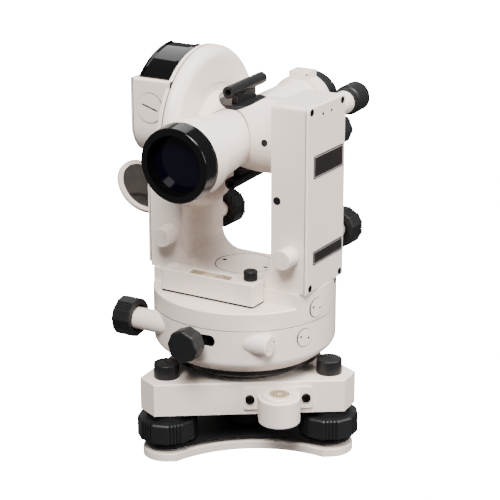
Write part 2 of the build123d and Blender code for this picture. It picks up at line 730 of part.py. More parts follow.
def clamp_knob(radius, length, gap, shank):
    """Eight-sided knob along local +Z: its inner face lies gap out from the frame, the shank behind it."""
    outline = RegularPolygon(radius, 8)
    outline = fillet(outline.vertices(), 0.3 * radius)
    head = Pos(0, 0, gap) * extrude(outline, length)
    head = fillet(head.edges().group_by(Axis.Z)[-1], 0.15 * length)
    head = chamfer(head.edges().group_by(Axis.Z)[0], 0.6)
    return head + rod(CLAMP_SHANK_R, -shank, gap + 1)


clamp_place = frame_at((0, -LUG_REACH, CLAMP_Z), (0, -1, 0), (1, 0, 0))
parts["clamp_collar"] = clamp_collar()
parts["horizontal_clamp_knob"] = clamp_place * clamp_knob(
    CLAMP_KNOB_R, CLAMP_KNOB_LENGTH, CLAMP_REACH - LUG_REACH, CLAMP_ENGAGED
)


# Upper housing: one casting of ring, floor and two hollow standards

def standard(inner_x, outer_x, top):
    """Standard with its front and back walls thick enough for the drive tubes."""
    wall = math.copysign(INNER_WALL, outer_x)
    post = block((inner_x, outer_x), (-STANDARD_Y, STANDARD_Y), (SHOULDER_Z, top))
    pocket = block((inner_x + wall, 2 * outer_x), (-POCKET_Y, POCKET_Y), (POCKET_FOOT, TRUNNION_Z))
    round_pocket = Rot(0, 90, 0) * Cylinder(RING_POCKET_R, abs(outer_x - inner_x - wall) + 40)
    middle = (inner_x + wall + outer_x) / 2 + math.copysign(20, outer_x)
    return post, pocket + Pos(middle, 0, TRUNNION_Z) * round_pocket


def upper_frame():
    frame = rod(HOUSING_R, HOUSING_SEAM, LEDGE_Z)
    frame = fillet(frame.edges().group_by(Axis.Z)[-1], LEDGE_ROUND)
    frame = fillet(frame.edges().group_by(Axis.Z)[0], SEAM_ROUND)
    shoulder_z = (LEDGE_Z - 2 * LEDGE_ROUND, SHOULDER_Z)
    middle = block((-HOUSING_R, HOUSING_R), (-SHOULDER_Y, SHOULDER_Y), shoulder_z)
    frame += rod(HOUSING_R, *shoulder_z) & middle
    floor = block((LEFT_OUTER_X, RIGHT_OUTER_X), (-STANDARD_Y, STANDARD_Y), (SHOULDER_Z, FLOOR_Z))
    right, right_pocket = standard(RIGHT_INNER_X, RIGHT_OUTER_X, STANDARD_TOP)
    left, left_pocket = standard(LEFT_INNER_X, LEFT_OUTER_X, CIRCLE_BOX_FOOT)
    right = fillet(right.edges().group_by(Axis.Z)[-1].filter_by(Axis.X), TOP_FILLET)
    rim = [edge for edge in right.faces().sort_by(Axis.X)[-1].edges() if edge.center().Z > SHOULDER_Z + 1]
    right = chamfer(rim, COVER_GROOVE)
    fork = floor + right + left
    corner_x = (LEFT_INNER_X, RIGHT_INNER_X)
    corners = [
        edge
        for edge in fork.edges().filter_by(Axis.Y)
        if abs(edge.center().Z - FLOOR_Z) < GAP and min(abs(edge.center().X - x) for x in corner_x) < GAP
    ]
    frame += fillet(corners, FORK_FILLET)
    frame -= right_pocket
    frame -= left_pocket & block((2 * LEFT_OUTER_X, 0), (-STANDARD_Y, STANDARD_Y), (0, CIRCLE_BOX_FOOT + 1))
    frame -= tube(BOWL_CAVITY_R, SPINDLE_FLANGE_R + 6, HOUSING_SEAM - 1, RING_CAVITY_TOP)
    frame -= rod(SPINDLE_FLANGE_R + FIT, 0, CENTRE_SEAT)
    frame -= rod(CENTRE_PLATE_R + FIT, CENTRE_SEAT, FLOOR_Z + 1)
    frame -= ring_plug_place * rod(RING_PLUG_R + FIT, -PLUG_SEAT, 10)
    for place in (right_drive, left_drive):
        frame -= place * rod(STANDARD_TUBE_R + FIT, -STANDARD_KNOB, 0)
        frame -= place * rod(STANDARD_CAP_R + FIT, 0, STANDARD_CAP)
    frame -= axis_rod(BEARING_R + FIT, RIGHT_INNER_X - 1, RIGHT_INNER_X + INNER_WALL + 1)
    frame -= side_clamp_place * rod(CLAMP_SHANK_R + CLAMP_SWING, -STANDARD_Y, 1)
    frame -= window_place * rod(WINDOW_R + FIT, -WINDOW_DEPTH, 1)
    for place in right_screw_places + left_screw_places[:2]:
        frame -= place * rod(COVER_SCREW_R / 2 + FIT, -COVER_THICK - 8, 0)
    return frame


def axis_rod(radius, start, end):
    """Cylinder on the trunnion axis between two X places."""
    return frame_at((0, 0, TRUNNION_Z), (1, 0, 0), (0, 1, 0)) * rod(radius, start, end)


def tube_on_axis(outer, inner, start, end):
    """Hollow cylinder on the trunnion axis between two X places."""
    return axis_rod(outer, start, end) - axis_rod(inner, start - 1, end + 1)


def cover_screw():
    """Countersunk screw whose head is flush with the cover face at local zero."""
    head = Cone(COVER_SCREW_R / 2, COVER_SCREW_R, SCREW_HEAD, align=ON_TOP)
    screw = head + rod(COVER_SCREW_R / 2, -COVER_THICK - 7, -1)
    for turn in (45, 135):
        screw -= Rot(0, 0, turn) * Box(CROSS_SLOT, 1.3 * COVER_SCREW_R, 1.2 * SCREW_HEAD)
    return screw


def screw_seat():
    seat = Cone(COVER_SCREW_R / 2 + FIT, COVER_SCREW_R + FIT, SCREW_HEAD, align=ON_TOP)
    return seat + rod(COVER_SCREW_R / 2 + FIT, -COVER_THICK - 1, -1)


window_place = frame_at((LEFT_OUTER_X, WINDOW_Y, WINDOW_Z), (-1, 0, 0), (0, 1, 0))
side_clamp_place = frame_at((RIGHT_DRIVE_X, STANDARD_Y, TRUNNION_Z), (0, 1, 0), (-1, 0, 0))
inset_y = STANDARD_Y - COVER_SCREW_SIDE
right_screw_places = [
    frame_at((COVER_FACE_X, y, z), (1, 0, 0), (0, 1, 0))
    for y in (-inset_y, inset_y)
    for z in (COVER_FOOT + COVER_SCREW_INSET, STANDARD_TOP - COVER_SCREW_INSET)
]
left_screw_spots = [
    (-inset_y, LEFT_COVER_FOOT + COVER_SCREW_INSET),
    (inset_y, LEFT_COVER_FOOT + COVER_SCREW_INSET),
    (-CIRCLE_BOX_Y + COVER_SCREW_INSET, CIRCLE_BOX_TOP - COVER_SCREW_INSET),
    (CIRCLE_BOX_Y - COVER_SCREW_INSET, CIRCLE_BOX_TOP - COVER_SCREW_INSET),
]
left_screw_places = [frame_at((LEFT_FACE_X, y, z), (-1, 0, 0), (0, 1, 0)) for y, z in left_screw_spots]
parts["upper_frame"] = upper_frame()


def right_cover():
    cover = block((RIGHT_OUTER_X, COVER_FACE_X), (-STANDARD_Y, STANDARD_Y), (COVER_FOOT, STANDARD_TOP))
    cover = fillet(cover.edges().group_by(Axis.Z)[-1].filter_by(Axis.X), TOP_FILLET)
    cover = fillet(cover.faces().sort_by(Axis.X)[-1].edges(), COVER_EDGE)
    cover = chamfer(cover.faces().sort_by(Axis.X)[0].edges(), COVER_GROOVE)
    for place in right_screw_places:
        cover -= place * screw_seat()
    for y, z in COVER_HOLES:
        cover -= frame_at((COVER_FACE_X, y, z), (1, 0, 0), (0, 1, 0)) * rod(COVER_HOLE_R, -COVER_THICK / 2, 1)
    return cover


def box_outline():
    """Outline of the left side from standard to circle box, in (y, z) with the trunnion at zero height."""
    foot = CIRCLE_BOX_FOOT - TRUNNION_Z
    top = CIRCLE_BOX_TOP - TRUNNION_Z
    outline = Pos(0, (foot + top) / 2) * Rectangle(2 * CIRCLE_BOX_Y, top - foot)
    lower = outline.vertices().group_by(Axis.Y)[0]
    return fillet(lower, CIRCLE_BOX_CORNER)


side_plane = Plane(origin=(0, 0, TRUNNION_Z), x_dir=(0, 1, 0), z_dir=(1, 0, 0))


def left_cover():
    lower_height = CIRCLE_BOX_FOOT + CIRCLE_BOX_CORNER - LEFT_COVER_FOOT
    middle = LEFT_COVER_FOOT + lower_height / 2 - TRUNNION_Z
    outline = box_outline() + Pos(0, middle) * Rectangle(2 * STANDARD_Y, lower_height)
    cover = extrude(side_plane.offset(LEFT_FACE_X) * outline, COVER_THICK)
    cover = chamfer(cover.faces().sort_by(Axis.X)[0].edges(), 0.4)
    cover += window_place * rod(SWIVEL_R, 0, COVER_THICK + SWIVEL_RISE)
    cover -= window_place * rod(WINDOW_R + FIT, -1, COVER_THICK + SWIVEL_RISE + 1)
    for place in left_screw_places:
        cover -= place * screw_seat()
    return cover


parts["right_cover"] = right_cover()
parts["left_cover"] = left_cover()
parts["light_window"] = window_place * rod(WINDOW_R, -0.5, COVER_THICK - 0.5)
parts["cover_screws"] = Part() + [place * cover_screw() for place in right_screw_places + left_screw_places]


# Vertical circle housing, its round cover towards the telescope, and the hood over the index level

def circle_housing():
    housing = extrude(side_plane.offset(LEFT_OUTER_X) * box_outline(), CIRCLE_BOX_INNER_X - LEFT_OUTER_X)
    housing = fillet(housing.edges().group_by(Axis.Z)[-1].filter_by(Axis.X), 1.5)
    flange = axis_rod(CIRCLE_COVER_R, LEFT_INNER_X, CIRCLE_BOX_INNER_X)
    housing += fillet(flange.edges().group_by(Axis.X)[-1], SEAM_ROUND)
    housing -= axis_rod(RING_POCKET_R, 2 * LEFT_OUTER_X, CIRCLE_BOX_WALL_X)
    passage = block((2 * LEFT_OUTER_X, CIRCLE_BOX_WALL_X), (-POCKET_Y, POCKET_Y), (0, TRUNNION_Z))
    housing -= passage
    housing -= axis_rod(BEARING_R + FIT, LEFT_OUTER_X, 0)
    housing -= box_plug_place * rod(PLUG_R + FIT, -PLUG_SEAT, 10)
    for place in left_screw_places[2:]:
        housing -= place * rod(COVER_SCREW_R / 2 + FIT, -COVER_THICK - 8, 0)
    return housing


def circle_cover():
    """Dish over the circle, open in the middle for the telescope flange."""
    points = [
        (CIRCLE_OPENING_R, -CIRCLE_COVER_FACE_X),
        (CIRCLE_COVER_R, -CIRCLE_COVER_FACE_X),
        (CIRCLE_COVER_R, -CIRCLE_BOX_INNER_X),
        (CIRCLE_CAVITY_R, -CIRCLE_BOX_INNER_X),
        (CIRCLE_CAVITY_R, -CIRCLE_CAVITY_FACE_X),
        (CIRCLE_OPENING_R, -CIRCLE_CAVITY_FACE_X),
    ]
    dish = turned(points, [(1, CIRCLE_COVER_FILLET), (2, SEAM_ROUND)])
    return trunnion_left * dish


def index_hood():
    """Curved hood on the housing: two raised rims and a band between, hollow over the index level."""
    hood = axis_rod(HOOD_R, *HOOD_X) - tube_on_axis(HOOD_R + 1, HOOD_R - HOOD_BAND, *HOOD_BAND_X)
    hood &= block(HOOD_X, HOOD_Y, (CIRCLE_BOX_TOP, 2 * TRUNNION_Z))
    inside = axis_rod(HOOD_R - HOOD_BAND - HOOD_WALL, HOOD_X[0] + HOOD_WALL, HOOD_X[1] - HOOD_WALL)
    inside_y = (HOOD_Y[0] + HOOD_WALL, HOOD_Y[1] - HOOD_WALL)
    return hood - (inside & block(HOOD_X, inside_y, (0, 2 * TRUNNION_Z)))


box_plug_place = frame_at((PLUG_X, -CIRCLE_BOX_Y, PLUG_Z), (0, -1, 0), (1, 0, 0))
trunnion_left = frame_at((0, 0, TRUNNION_Z), (-1, 0, 0), (0, 1, 0))
parts["circle_housing"] = circle_housing()
parts["circle_cover"] = circle_cover()
parts["index_hood"] = index_hood()


# Trunnion bearings, and the clamp arm and index frame that hang on them

def side_arm(arm_x):
    """Ring on a bearing with an arm down to the drive pins."""
    low, high = arm_x - ARM_THICK / 2, arm_x + ARM_THICK / 2
    shoulder = TRUNNION_Z - ARM_RING_R + 2
    outline = Polyline(
        (-2.5 * SIDE_LUG, shoulder),
        (-SIDE_LUG, STANDARD_DRIVE_Z + 12),
        (-SIDE_LUG, STANDARD_DRIVE_Z - 6),
        (SIDE_LUG, STANDARD_DRIVE_Z - 6),
        (SIDE_LUG, STANDARD_DRIVE_Z + 12),
        (2.5 * SIDE_LUG, shoulder),
        close=True,
    )
    plane = Plane(origin=(low, 0, 0), x_dir=(0, 1, 0), z_dir=(1, 0, 0))
    arm = extrude(plane * make_face(outline), ARM_THICK)
    arm += axis_rod(ARM_RING_R, low, high)
    return arm - axis_rod(BEARING_R + FIT, low - 1, high + 1)


bearings = axis_rod(BEARING_R, BEARING_LEFT_END, CIRCLE_BOX_INNER_X) - axis_rod(AXLE_R + FIT, -100, 0)
bearings += axis_rod(BEARING_R, RIGHT_INNER_X, BEARING_RIGHT_END) - axis_rod(AXLE_R + FIT, 0, 100)
parts["trunnion_bearings"] = bearings

arm_bore = side_clamp_place * rod(CLAMP_SHANK_R + FIT, -STANDARD_Y, 0)
parts["vertical_clamp_arm"] = side_arm(RIGHT_DRIVE_X) - arm_bore
parts["vertical_clamp_knob"] = side_clamp_place * clamp_knob(
    SIDE_CLAMP_R, SIDE_CLAMP_LENGTH, SIDE_CLAMP_GAP, STANDARD_Y - BEARING_R - 1
)

vial_place = frame_at((LEFT_DRIVE_X - ARM_THICK / 2 - INDEX_VIAL_R + 1, 0, WINDOW_Z), (0, 1, 0), (1, 0, 0))
index_frame = side_arm(LEFT_DRIVE_X)
for end in (-1, 1):
    index_frame += vial_place * Pos(0, 0, end * (INDEX_VIAL_HALF - 2)) * Box(
        2 * INDEX_VIAL_R + 2, 2 * INDEX_VIAL_R + 2, 3
    )
brace_x = (LEFT_DRIVE_X - ARM_THICK / 2, LEFT_DRIVE_X + ARM_THICK / 2)
brace_z = (WINDOW_Z - INDEX_VIAL_R - 1, WINDOW_Z + INDEX_VIAL_R + 1)
index_frame += block(brace_x, (-INDEX_VIAL_HALF + 0.5, INDEX_VIAL_HALF - 0.5), brace_z)
index_frame -= vial_place * rod(INDEX_VIAL_R + FIT, -POCKET_Y, POCKET_Y)
parts["index_frame"] = index_frame
parts["index_vial"] = vial_place * rod(INDEX_VIAL_R, -INDEX_VIAL_HALF, INDEX_VIAL_HALF)


# Illuminating mirror: a ring that swivels round the window, a hinged frame and its glass

def at_window(solid):
    """Swing a mirror piece, made with the window centre as origin and -X outward, to its bearing."""
    return Pos(LEFT_FACE_X, WINDOW_Y, WINDOW_Z) * Rot(MIRROR_SWIVEL, 0, 0) * solid


def opened(solid):
    """Tip a mirror piece about its hinge pin from closed to its open place."""
    hinge = Pos(-MIRROR_PIN_OUT, 0, -MIRROR_PIN_DROP)
    back = Pos(MIRROR_PIN_OUT, 0, MIRROR_PIN_DROP)
    return hinge * Rot(0, -MIRROR_OPEN, 0) * back * solid


def outward(radius, start, end):
    """Cylinder pointing away from the cover."""
    return frame_at((0, 0, 0), (-1, 0, 0), (0, 1, 0)) * rod(radius, start, end)


def hinge_rod(radius, half):
    return frame_at((-MIRROR_PIN_OUT, 0, -MIRROR_PIN_DROP), (0, 1, 0), (0, 0, 1)) * rod(radius, -half, half)


def mirror_ring():
    ring = outward(MIRROR_RING_R, FIT, MIRROR_RING_THICK)
    lug_x = (-MIRROR_PIN_OUT, -FIT)
    lug_z = (-MIRROR_PIN_DROP - MIRROR_KNUCKLE_R, -SWIVEL_R)
    for side in (-1, 1):
        lug_y = (side * LUG_INNER, side * LUG_OUTER)
        ring += block(lug_x, lug_y, lug_z)
        cheek = hinge_rod(MIRROR_KNUCKLE_R, LUG_OUTER)
        ring += cheek & block((-10, 0), lug_y, (-40, 0))
    ring += hinge_rod(MIRROR_PIN_R, LUG_OUTER)
    return ring - outward(SWIVEL_R + FIT, -1, MIRROR_PIN_OUT + 5)


def mirror_frame():
    disc = outward(MIRROR_R, MIRROR_BACK, MIRROR_BACK + MIRROR_THICK)
    disc = fillet(disc.edges().group_by(Axis.X)[0], 1.0)
    for side in (-1, 1):
        notch_y = (side * (LUG_INNER - GAP), side * (LUG_OUTER + GAP))
        disc -= block((-10, 0), notch_y, (-2 * MIRROR_R, -MIRROR_PIN_DROP + MIRROR_KNUCKLE_R + 1))
    disc += hinge_rod(MIRROR_KNUCKLE_R, KNUCKLE_HALF)
    disc -= hinge_rod(MIRROR_PIN_R + FIT, KNUCKLE_HALF + 1)
    return disc - outward(MIRROR_GLASS_R + FIT, 0, MIRROR_BACK + MIRROR_GLASS_THICK)


LUG_INNER = KNUCKLE_HALF + GAP
LUG_OUTER = LUG_INNER + HINGE_LUG_THICK
MIRROR_BACK = MIRROR_PIN_OUT + GAP
mirror_glass = outward(MIRROR_GLASS_R, MIRROR_BACK, MIRROR_BACK + MIRROR_GLASS_THICK)

parts["mirror_ring"] = at_window(mirror_ring())
parts["mirror_frame"] = at_window(opened(mirror_frame()))
parts["mirror_glass"] = at_window(opened(mirror_glass))


# Plate level in front of the standards, on its gasket

def plate_level_housing():
    foot = LEDGE_Z + GASKET
    housing = block(LEVEL_X, LEVEL_Y, (foot, LEVEL_TOP))
    housing = fillet(housing.edges().filter_by(Axis.Z), 1.5)
    housing = fillet(housing.edges().group_by(Axis.Z)[-1], 0.8)
    window_y = (LEVEL_VIAL_Y - LEVEL_WINDOW_WIDTH / 2, LEVEL_VIAL_Y + LEVEL_WINDOW_WIDTH / 2)
    housing -= block(LEVEL_WINDOW_X, window_y, (LEVEL_VIAL_Z, LEVEL_TOP + 1))
    window = ((LEVEL_WINDOW_X[0] + LEVEL_WINDOW_X[1]) / 2, LEVEL_VIAL_Y)
    size = (LEVEL_WINDOW_X[1] - LEVEL_WINDOW_X[0], LEVEL_WINDOW_WIDTH)
    wide = Rectangle(size[0] + 2 * LEVEL_WINDOW_BEVEL, size[1] + 2 * LEVEL_WINDOW_BEVEL)
    narrow = Pos(*window, LEVEL_TOP - LEVEL_WINDOW_BEVEL) * Rectangle(*size)
    housing -= loft([narrow, Pos(*window, LEVEL_TOP) * wide])
    seat_y = (LEVEL_VIAL_Y - LEVEL_VIAL_R - FIT, LEVEL_VIAL_Y + LEVEL_VIAL_R + FIT)
    seat_x = (LEVEL_VIAL_X[0] - FIT, LEVEL_VIAL_X[1] + FIT)
    housing -= block(seat_x, seat_y, (foot - 1, LEVEL_VIAL_Z))
    housing -= level_vial_place * rod(LEVEL_VIAL_R + FIT, *seat_x)
    housing -= adjuster_place * rod(ADJUSTER_SHANK_R + FIT, -ADJUSTER_DEPTH - 1, 1)
    return housing - level_plug_place * rod(LEVEL_PLUG_R + FIT, -PLUG_SEAT, 1)


def level_adjuster():
    """Knurled head with its shank in the level housing."""
    head = rod(ADJUSTER_R, GAP, ADJUSTER_HEIGHT)
    head = chamfer(head.edges(), 0.5)
    for step in range(ADJUSTER_GROOVES):
        groove = Pos(ADJUSTER_R, 0, 0) * rod(0.35, 0, ADJUSTER_HEIGHT + 1)
        head -= Rot(0, 0, 360 / ADJUSTER_GROOVES * step) * groove
    return head + rod(ADJUSTER_SHANK_R, -ADJUSTER_DEPTH, GAP + 1)


level_vial_place = frame_at((0, LEVEL_VIAL_Y, LEVEL_VIAL_Z), (1, 0, 0), (0, 1, 0))
adjuster_place = Pos(ADJUSTER_X, ADJUSTER_Y, LEVEL_TOP)
level_plug_place = Pos(LEVEL_PLUG[0], LEVEL_PLUG[1], LEVEL_TOP)
gasket_x = (LEVEL_X[0] + GAP, LEVEL_X[1] - GAP)
gasket_y = (LEVEL_Y[0] + GAP, LEVEL_Y[1] - GAP)
gasket = block(gasket_x, gasket_y, (LEDGE_Z, LEDGE_Z + GASKET))
parts["plate_level_housing"] = plate_level_housing()
parts["plate_level_vial"] = level_vial_place * rod(LEVEL_VIAL_R, *LEVEL_VIAL_X)
parts["level_gasket"] = fillet(gasket.edges().filter_by(Axis.Z), 1.2)
parts["level_adjuster"] = adjuster_place * level_adjuster()


# Plugs and caps that close the castings

def plug(radius, rise):
    """Round plug seated in its wall with a slightly raised face."""
    body = rod(radius, -PLUG_SEAT, rise)
    return chamfer(body.edges().group_by(Axis.Z)[-1], 0.4)


def spanner_plug(radius):
    return plug(radius, PLUG_HEAD) - spanner_holes(PLUG_HEAD, BOWL_PLUG_PITCH, BOWL_PLUG_TURN + 90)


def centre_plate():
    plate = rod(CENTRE_PLATE_R, CENTRE_SEAT, FLOOR_Z)
    for side in (-1, 1):
        plate -= Pos(side * CENTRE_HOLE_X, 0, 0) * rod(CENTRE_HOLE_R, 0, FLOOR_Z + 1)
    return plate


def slotted_plug():
    body = plug(PLUG_R, PLUG_RISE)
    body -= Rot(0, 0, PLUG_SLOT_TURN) * Box(PLUG_SLOT, PLUG_SLOT_WIDTH, 2 * PLUG_RISE + 1)
    return body


parts["body_plugs"] = Part() + [
    centre_plate(),
    bowl_plug_place * spanner_plug(BOWL_PLUG_R),
    ring_plug_place * spanner_plug(RING_PLUG_R),
    level_plug_place * plug(LEVEL_PLUG_R, PLUG_HEAD),
    box_plug_place * slotted_plug(),
]


# Telescope, made with the trunnion centre as origin and the objective towards -Y

def across_axis(radius, start, end):
    """Cylinder on the trunnion axis of the level telescope."""
    return frame_at((0, 0, 0), (1, 0, 0), (0, 1, 0)) * rod(radius, start, end)


def telescope_body():
    """Drum with its circle flange, tapered front tube and plain rear tube in one casting."""
    drum = across_axis(DRUM_R, CIRCLE_COVER_FACE_X, DRUM_RIGHT_X)
    drum = chamfer(drum.edges().group_by(Axis.X)[-1], 0.8)
    drum += across_axis(DRUM_FLANGE_R, CIRCLE_CAVITY_FACE_X - FIT, CIRCLE_COVER_FACE_X)
    drum += across_axis(CIRCLE_HUB_R + 4, CIRCLE_FACE_X, CIRCLE_CAVITY_FACE_X)
    drum += across_axis(CIRCLE_HUB_R, VERTICAL_CIRCLE_X, CIRCLE_FACE_X)
    outside = turned([
        (0, -CELL_FRONT),
        (CELL_R, -CELL_FRONT),
        (CELL_R, -CELL_BACK),
        (TUBE_FRONT_R, -CELL_BACK),
        (TUBE_ROOT_R, -DRUM_R),
        (REAR_TUBE_R, 0),
        (REAR_TUBE_R, REAR_SEAM),
        (0, REAR_SEAM),
    ])
    body = drum + along_sight(outside)
    for side in (0, 180):
        body -= Rot(side, 0, 0) * rod(SIGHT_BASE_R + FIT, DRUM_FLAT, DRUM_R + 1)
    body -= along_sight(rod(TUBE_BORE_R, -CELL_FRONT - 1, REAR_SEAM + 1))
    body -= along_sight(rod(CELL_BORE_R + FIT, -CELL_FRONT - 1, -CELL_FRONT + SPIGOT))
    body -= along_sight(rod(REAR_SPIGOT_R + FIT, REAR_SEAM - SPIGOT, REAR_SEAM + 1))
    for low, high in AXLE_SEATS:
        body -= across_axis(AXLE_R, low, high)
    return body


def trunnion_axle():
    """Two hollow stub axles, one each side, so that the sight line stays free."""
    left = across_axis(AXLE_R, BEARING_LEFT_END + 1, AXLE_SEATS[0][1])
    right = across_axis(AXLE_R, AXLE_SEATS[1][0], BEARING_RIGHT_END - 1)
    stubs = left + right
    return stubs - across_axis(AXLE_BORE_R, BEARING_LEFT_END, BEARING_RIGHT_END)


def objective_ring():
    ring = turned([
        (LENS_SEAT_R, -CELL_FRONT + SPIGOT - 1),
        (LENS_SEAT_R, -LENS_BACK),
        (LENS_R + FIT, -LENS_BACK),
        (LENS_R + FIT, -LENS_FRONT),
        (RING_LIP_R, -LENS_FRONT),
        (RING_LIP_R, -RING_FRONT),
        (RING_R, -RING_FRONT),
        (RING_FLANGE_R, -CELL_FRONT - 2),
        (RING_FLANGE_R, -CELL_FRONT),
        (CELL_BORE_R, -CELL_FRONT),
        (CELL_BORE_R, -CELL_FRONT + SPIGOT - 1),
    ], [(6, 1.0)])
    return along_sight(ring)


def objective_lens():
    """Front glass with a gently domed face."""
    front = -LENS_BACK - LENS_EDGE - LENS_DOME
    ball_r = (LENS_R ** 2 + LENS_DOME ** 2) / (2 * LENS_DOME)
    glass = rod(LENS_R, front, -LENS_BACK) & Pos(0, 0, front + ball_r) * Sphere(ball_r)
    return along_sight(glass)


def rear_ring():
    """Fixed ring behind the rear tube, with the neck that the focus ring turns on."""
    ring = turned([
        (EYE_BORE_R, REAR_SEAM - SPIGOT + 1),
        (REAR_SPIGOT_R, REAR_SEAM - SPIGOT + 1),
        (REAR_SPIGOT_R, REAR_SEAM),
        (REAR_RING_R, REAR_SEAM),
        (REAR_RING_R, REAR_RING_END),
        (NECK_R, REAR_RING_END),
        (NECK_R, FOCUS_END - 0.5),
        (EYE_BORE_R, FOCUS_END - 0.5),
    ], [(4, 0.8)])
    ring = along_sight(ring)
    bump = block(REAR_BLOCK_X, REAR_BLOCK_Y, (0, REAR_BLOCK_TOP))
    bump = fillet(bump.edges().group_by(Axis.Z)[-1], 0.8)
    hole_x, hole_z = REAR_BLOCK_HOLE
    bump -= frame_at((hole_x, REAR_BLOCK_Y[0], hole_z), (0, 1, 0), (1, 0, 0)) * rod(SPANNER_HOLE_R, -1, 3)
    ring += bump - along_sight(rod(REAR_RING_R - 1, 0, 2 * REAR_SEAM))
    return ring


def focus_ring():
    ring = turned([
        (NECK_R + FIT, REAR_RING_END + GAP),
        (FOCUS_R, REAR_RING_END + GAP),
        (FOCUS_R, FOCUS_END),
        (NECK_R + FIT, FOCUS_END),
    ], [(1, 0.6), (2, 3.0)])
    return along_sight(ring)


def telescope_eyepiece():
    eyepiece = turned([
        (EYE_LENS_R, FOCUS_END - EYE_SHANK),
        (EYE_BORE_R - FIT, FOCUS_END - EYE_SHANK),
        (EYE_BORE_R - FIT, FOCUS_END + GAP),
        (EYEPIECE_R, FOCUS_END + GAP),
        (EYEPIECE_R, EYEPIECE_END),
        (EYE_LENS_R, EYEPIECE_END),
    ], [(4, 1.5)])
    return along_sight(eyepiece)


def upper_sight():
    """Open sight: disc on the drum, web and tube parallel to the line of sight."""
    body = rod(SIGHT_BASE_R, DRUM_FLAT, DRUM_FLAT + SIGHT_BASE_THICK)
    body = chamfer(body.edges().group_by(Axis.Z)[-1], 0.4)
    web_z = (DRUM_FLAT + 1, SIGHT_HEIGHT)
    body += block((-SIGHT_WEB / 2, SIGHT_WEB / 2), (-SIGHT_WEB_HALF, SIGHT_WEB_HALF), web_z)
    barrel = frame_at((0, 0, SIGHT_HEIGHT), (0, 1, 0), (1, 0, 0))
    body += barrel * rod(SIGHT_TUBE_R, *SIGHT_Y)
    return body - barrel * rod(SIGHT_BORE_R, SIGHT_Y[0] - 1, SIGHT_Y[1] + 1)


def microscope_tube():
    """Reading microscope beside the rear tube, with its saddle."""
    place = frame_at((MICRO_X, 0, MICRO_Z), (0, 1, 0), (1, 0, 0))
    body = place * rod(MICRO_R, MICRO_START, MICRO_END)
    body = fillet(body.edges().group_by(Axis.Y)[0], 1.5)
    body += block((REAR_TUBE_R / 2, MICRO_X), (MICRO_START + 1, MICRO_BRIDGE_END), (MICRO_Z - 7, MICRO_Z + 7))
    body -= along_sight(rod(REAR_TUBE_R + FIT, 0, REAR_SEAM))
    return body - place * rod(MICRO_BORE_R, MICRO_START + 4, MICRO_END + 1)


def microscope_eyepiece():
    eyepiece = turned([
        (MICRO_LENS_R, MICRO_END - 7),
        (MICRO_BORE_R - FIT, MICRO_END - 7),
        (MICRO_BORE_R - FIT, MICRO_END + GAP),
        (MICRO_STEP_R, MICRO_END + GAP),
        (MICRO_STEP_R, MICRO_STEP_Y),
        (MICRO_RIM_R, MICRO_STEP_Y + 1),
        (MICRO_RIM_R, MICRO_EYE_END),
        (MICRO_LENS_R, MICRO_EYE_END),
    ], [(6, 1.6)])
    return frame_at((MICRO_X, 0, MICRO_Z), (0, 1, 0), (1, 0, 0)) * eyepiece


circle_disc = across_axis(VERTICAL_CIRCLE_R, VERTICAL_CIRCLE_X, CIRCLE_FACE_X)
circle_disc -= across_axis(CIRCLE_HUB_R + FIT, VERTICAL_CIRCLE_X - 1, CIRCLE_FACE_X + 1)
parts["telescope_body"] = tilt_telescope(telescope_body())
parts["trunnion_axle"] = tilt_telescope(trunnion_axle())
parts["vertical_circle"] = tilt_telescope(circle_disc)
parts["objective_ring"] = tilt_telescope(objective_ring())
parts["objective_lens"] = tilt_telescope(objective_lens())
parts["rear_ring"] = tilt_telescope(rear_ring())
parts["focus_ring"] = tilt_telescope(focus_ring())
parts["telescope_eyepiece"] = tilt_telescope(telescope_eyepiece())
parts["sights"] = tilt_telescope(Part() + [upper_sight(), mirror(upper_sight(), about=Plane.XY)])
parts["microscope_tube"] = tilt_telescope(microscope_tube())
parts["microscope_eyepiece"] = tilt_telescope(microscope_eyepiece())


# One file for each named piece

os.makedirs("parts", exist_ok=True)
for name, solid in parts.items():
    export_step(solid, f"parts/{name}.step")
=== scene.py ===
import math

import bmesh
import bpy
import numpy as np
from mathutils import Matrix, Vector


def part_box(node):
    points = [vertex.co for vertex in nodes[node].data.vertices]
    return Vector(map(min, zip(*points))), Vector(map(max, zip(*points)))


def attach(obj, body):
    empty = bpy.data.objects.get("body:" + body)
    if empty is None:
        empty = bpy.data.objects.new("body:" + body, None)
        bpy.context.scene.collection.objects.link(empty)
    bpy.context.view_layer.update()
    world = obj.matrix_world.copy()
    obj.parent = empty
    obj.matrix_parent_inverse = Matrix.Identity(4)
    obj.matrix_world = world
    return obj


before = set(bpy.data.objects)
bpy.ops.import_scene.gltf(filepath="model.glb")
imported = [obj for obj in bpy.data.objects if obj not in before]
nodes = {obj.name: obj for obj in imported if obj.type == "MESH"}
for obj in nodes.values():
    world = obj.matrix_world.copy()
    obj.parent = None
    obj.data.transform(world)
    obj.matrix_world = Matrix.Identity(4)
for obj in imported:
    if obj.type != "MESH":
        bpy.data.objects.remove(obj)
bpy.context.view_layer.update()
scene = bpy.context.scene
MM = 0.001


# Studio: a bright pale floor, a dim white room and four soft lamps, seen by a long lens from the front
# right, a little above the instrument, with the instrument standing on the floor at the origin.

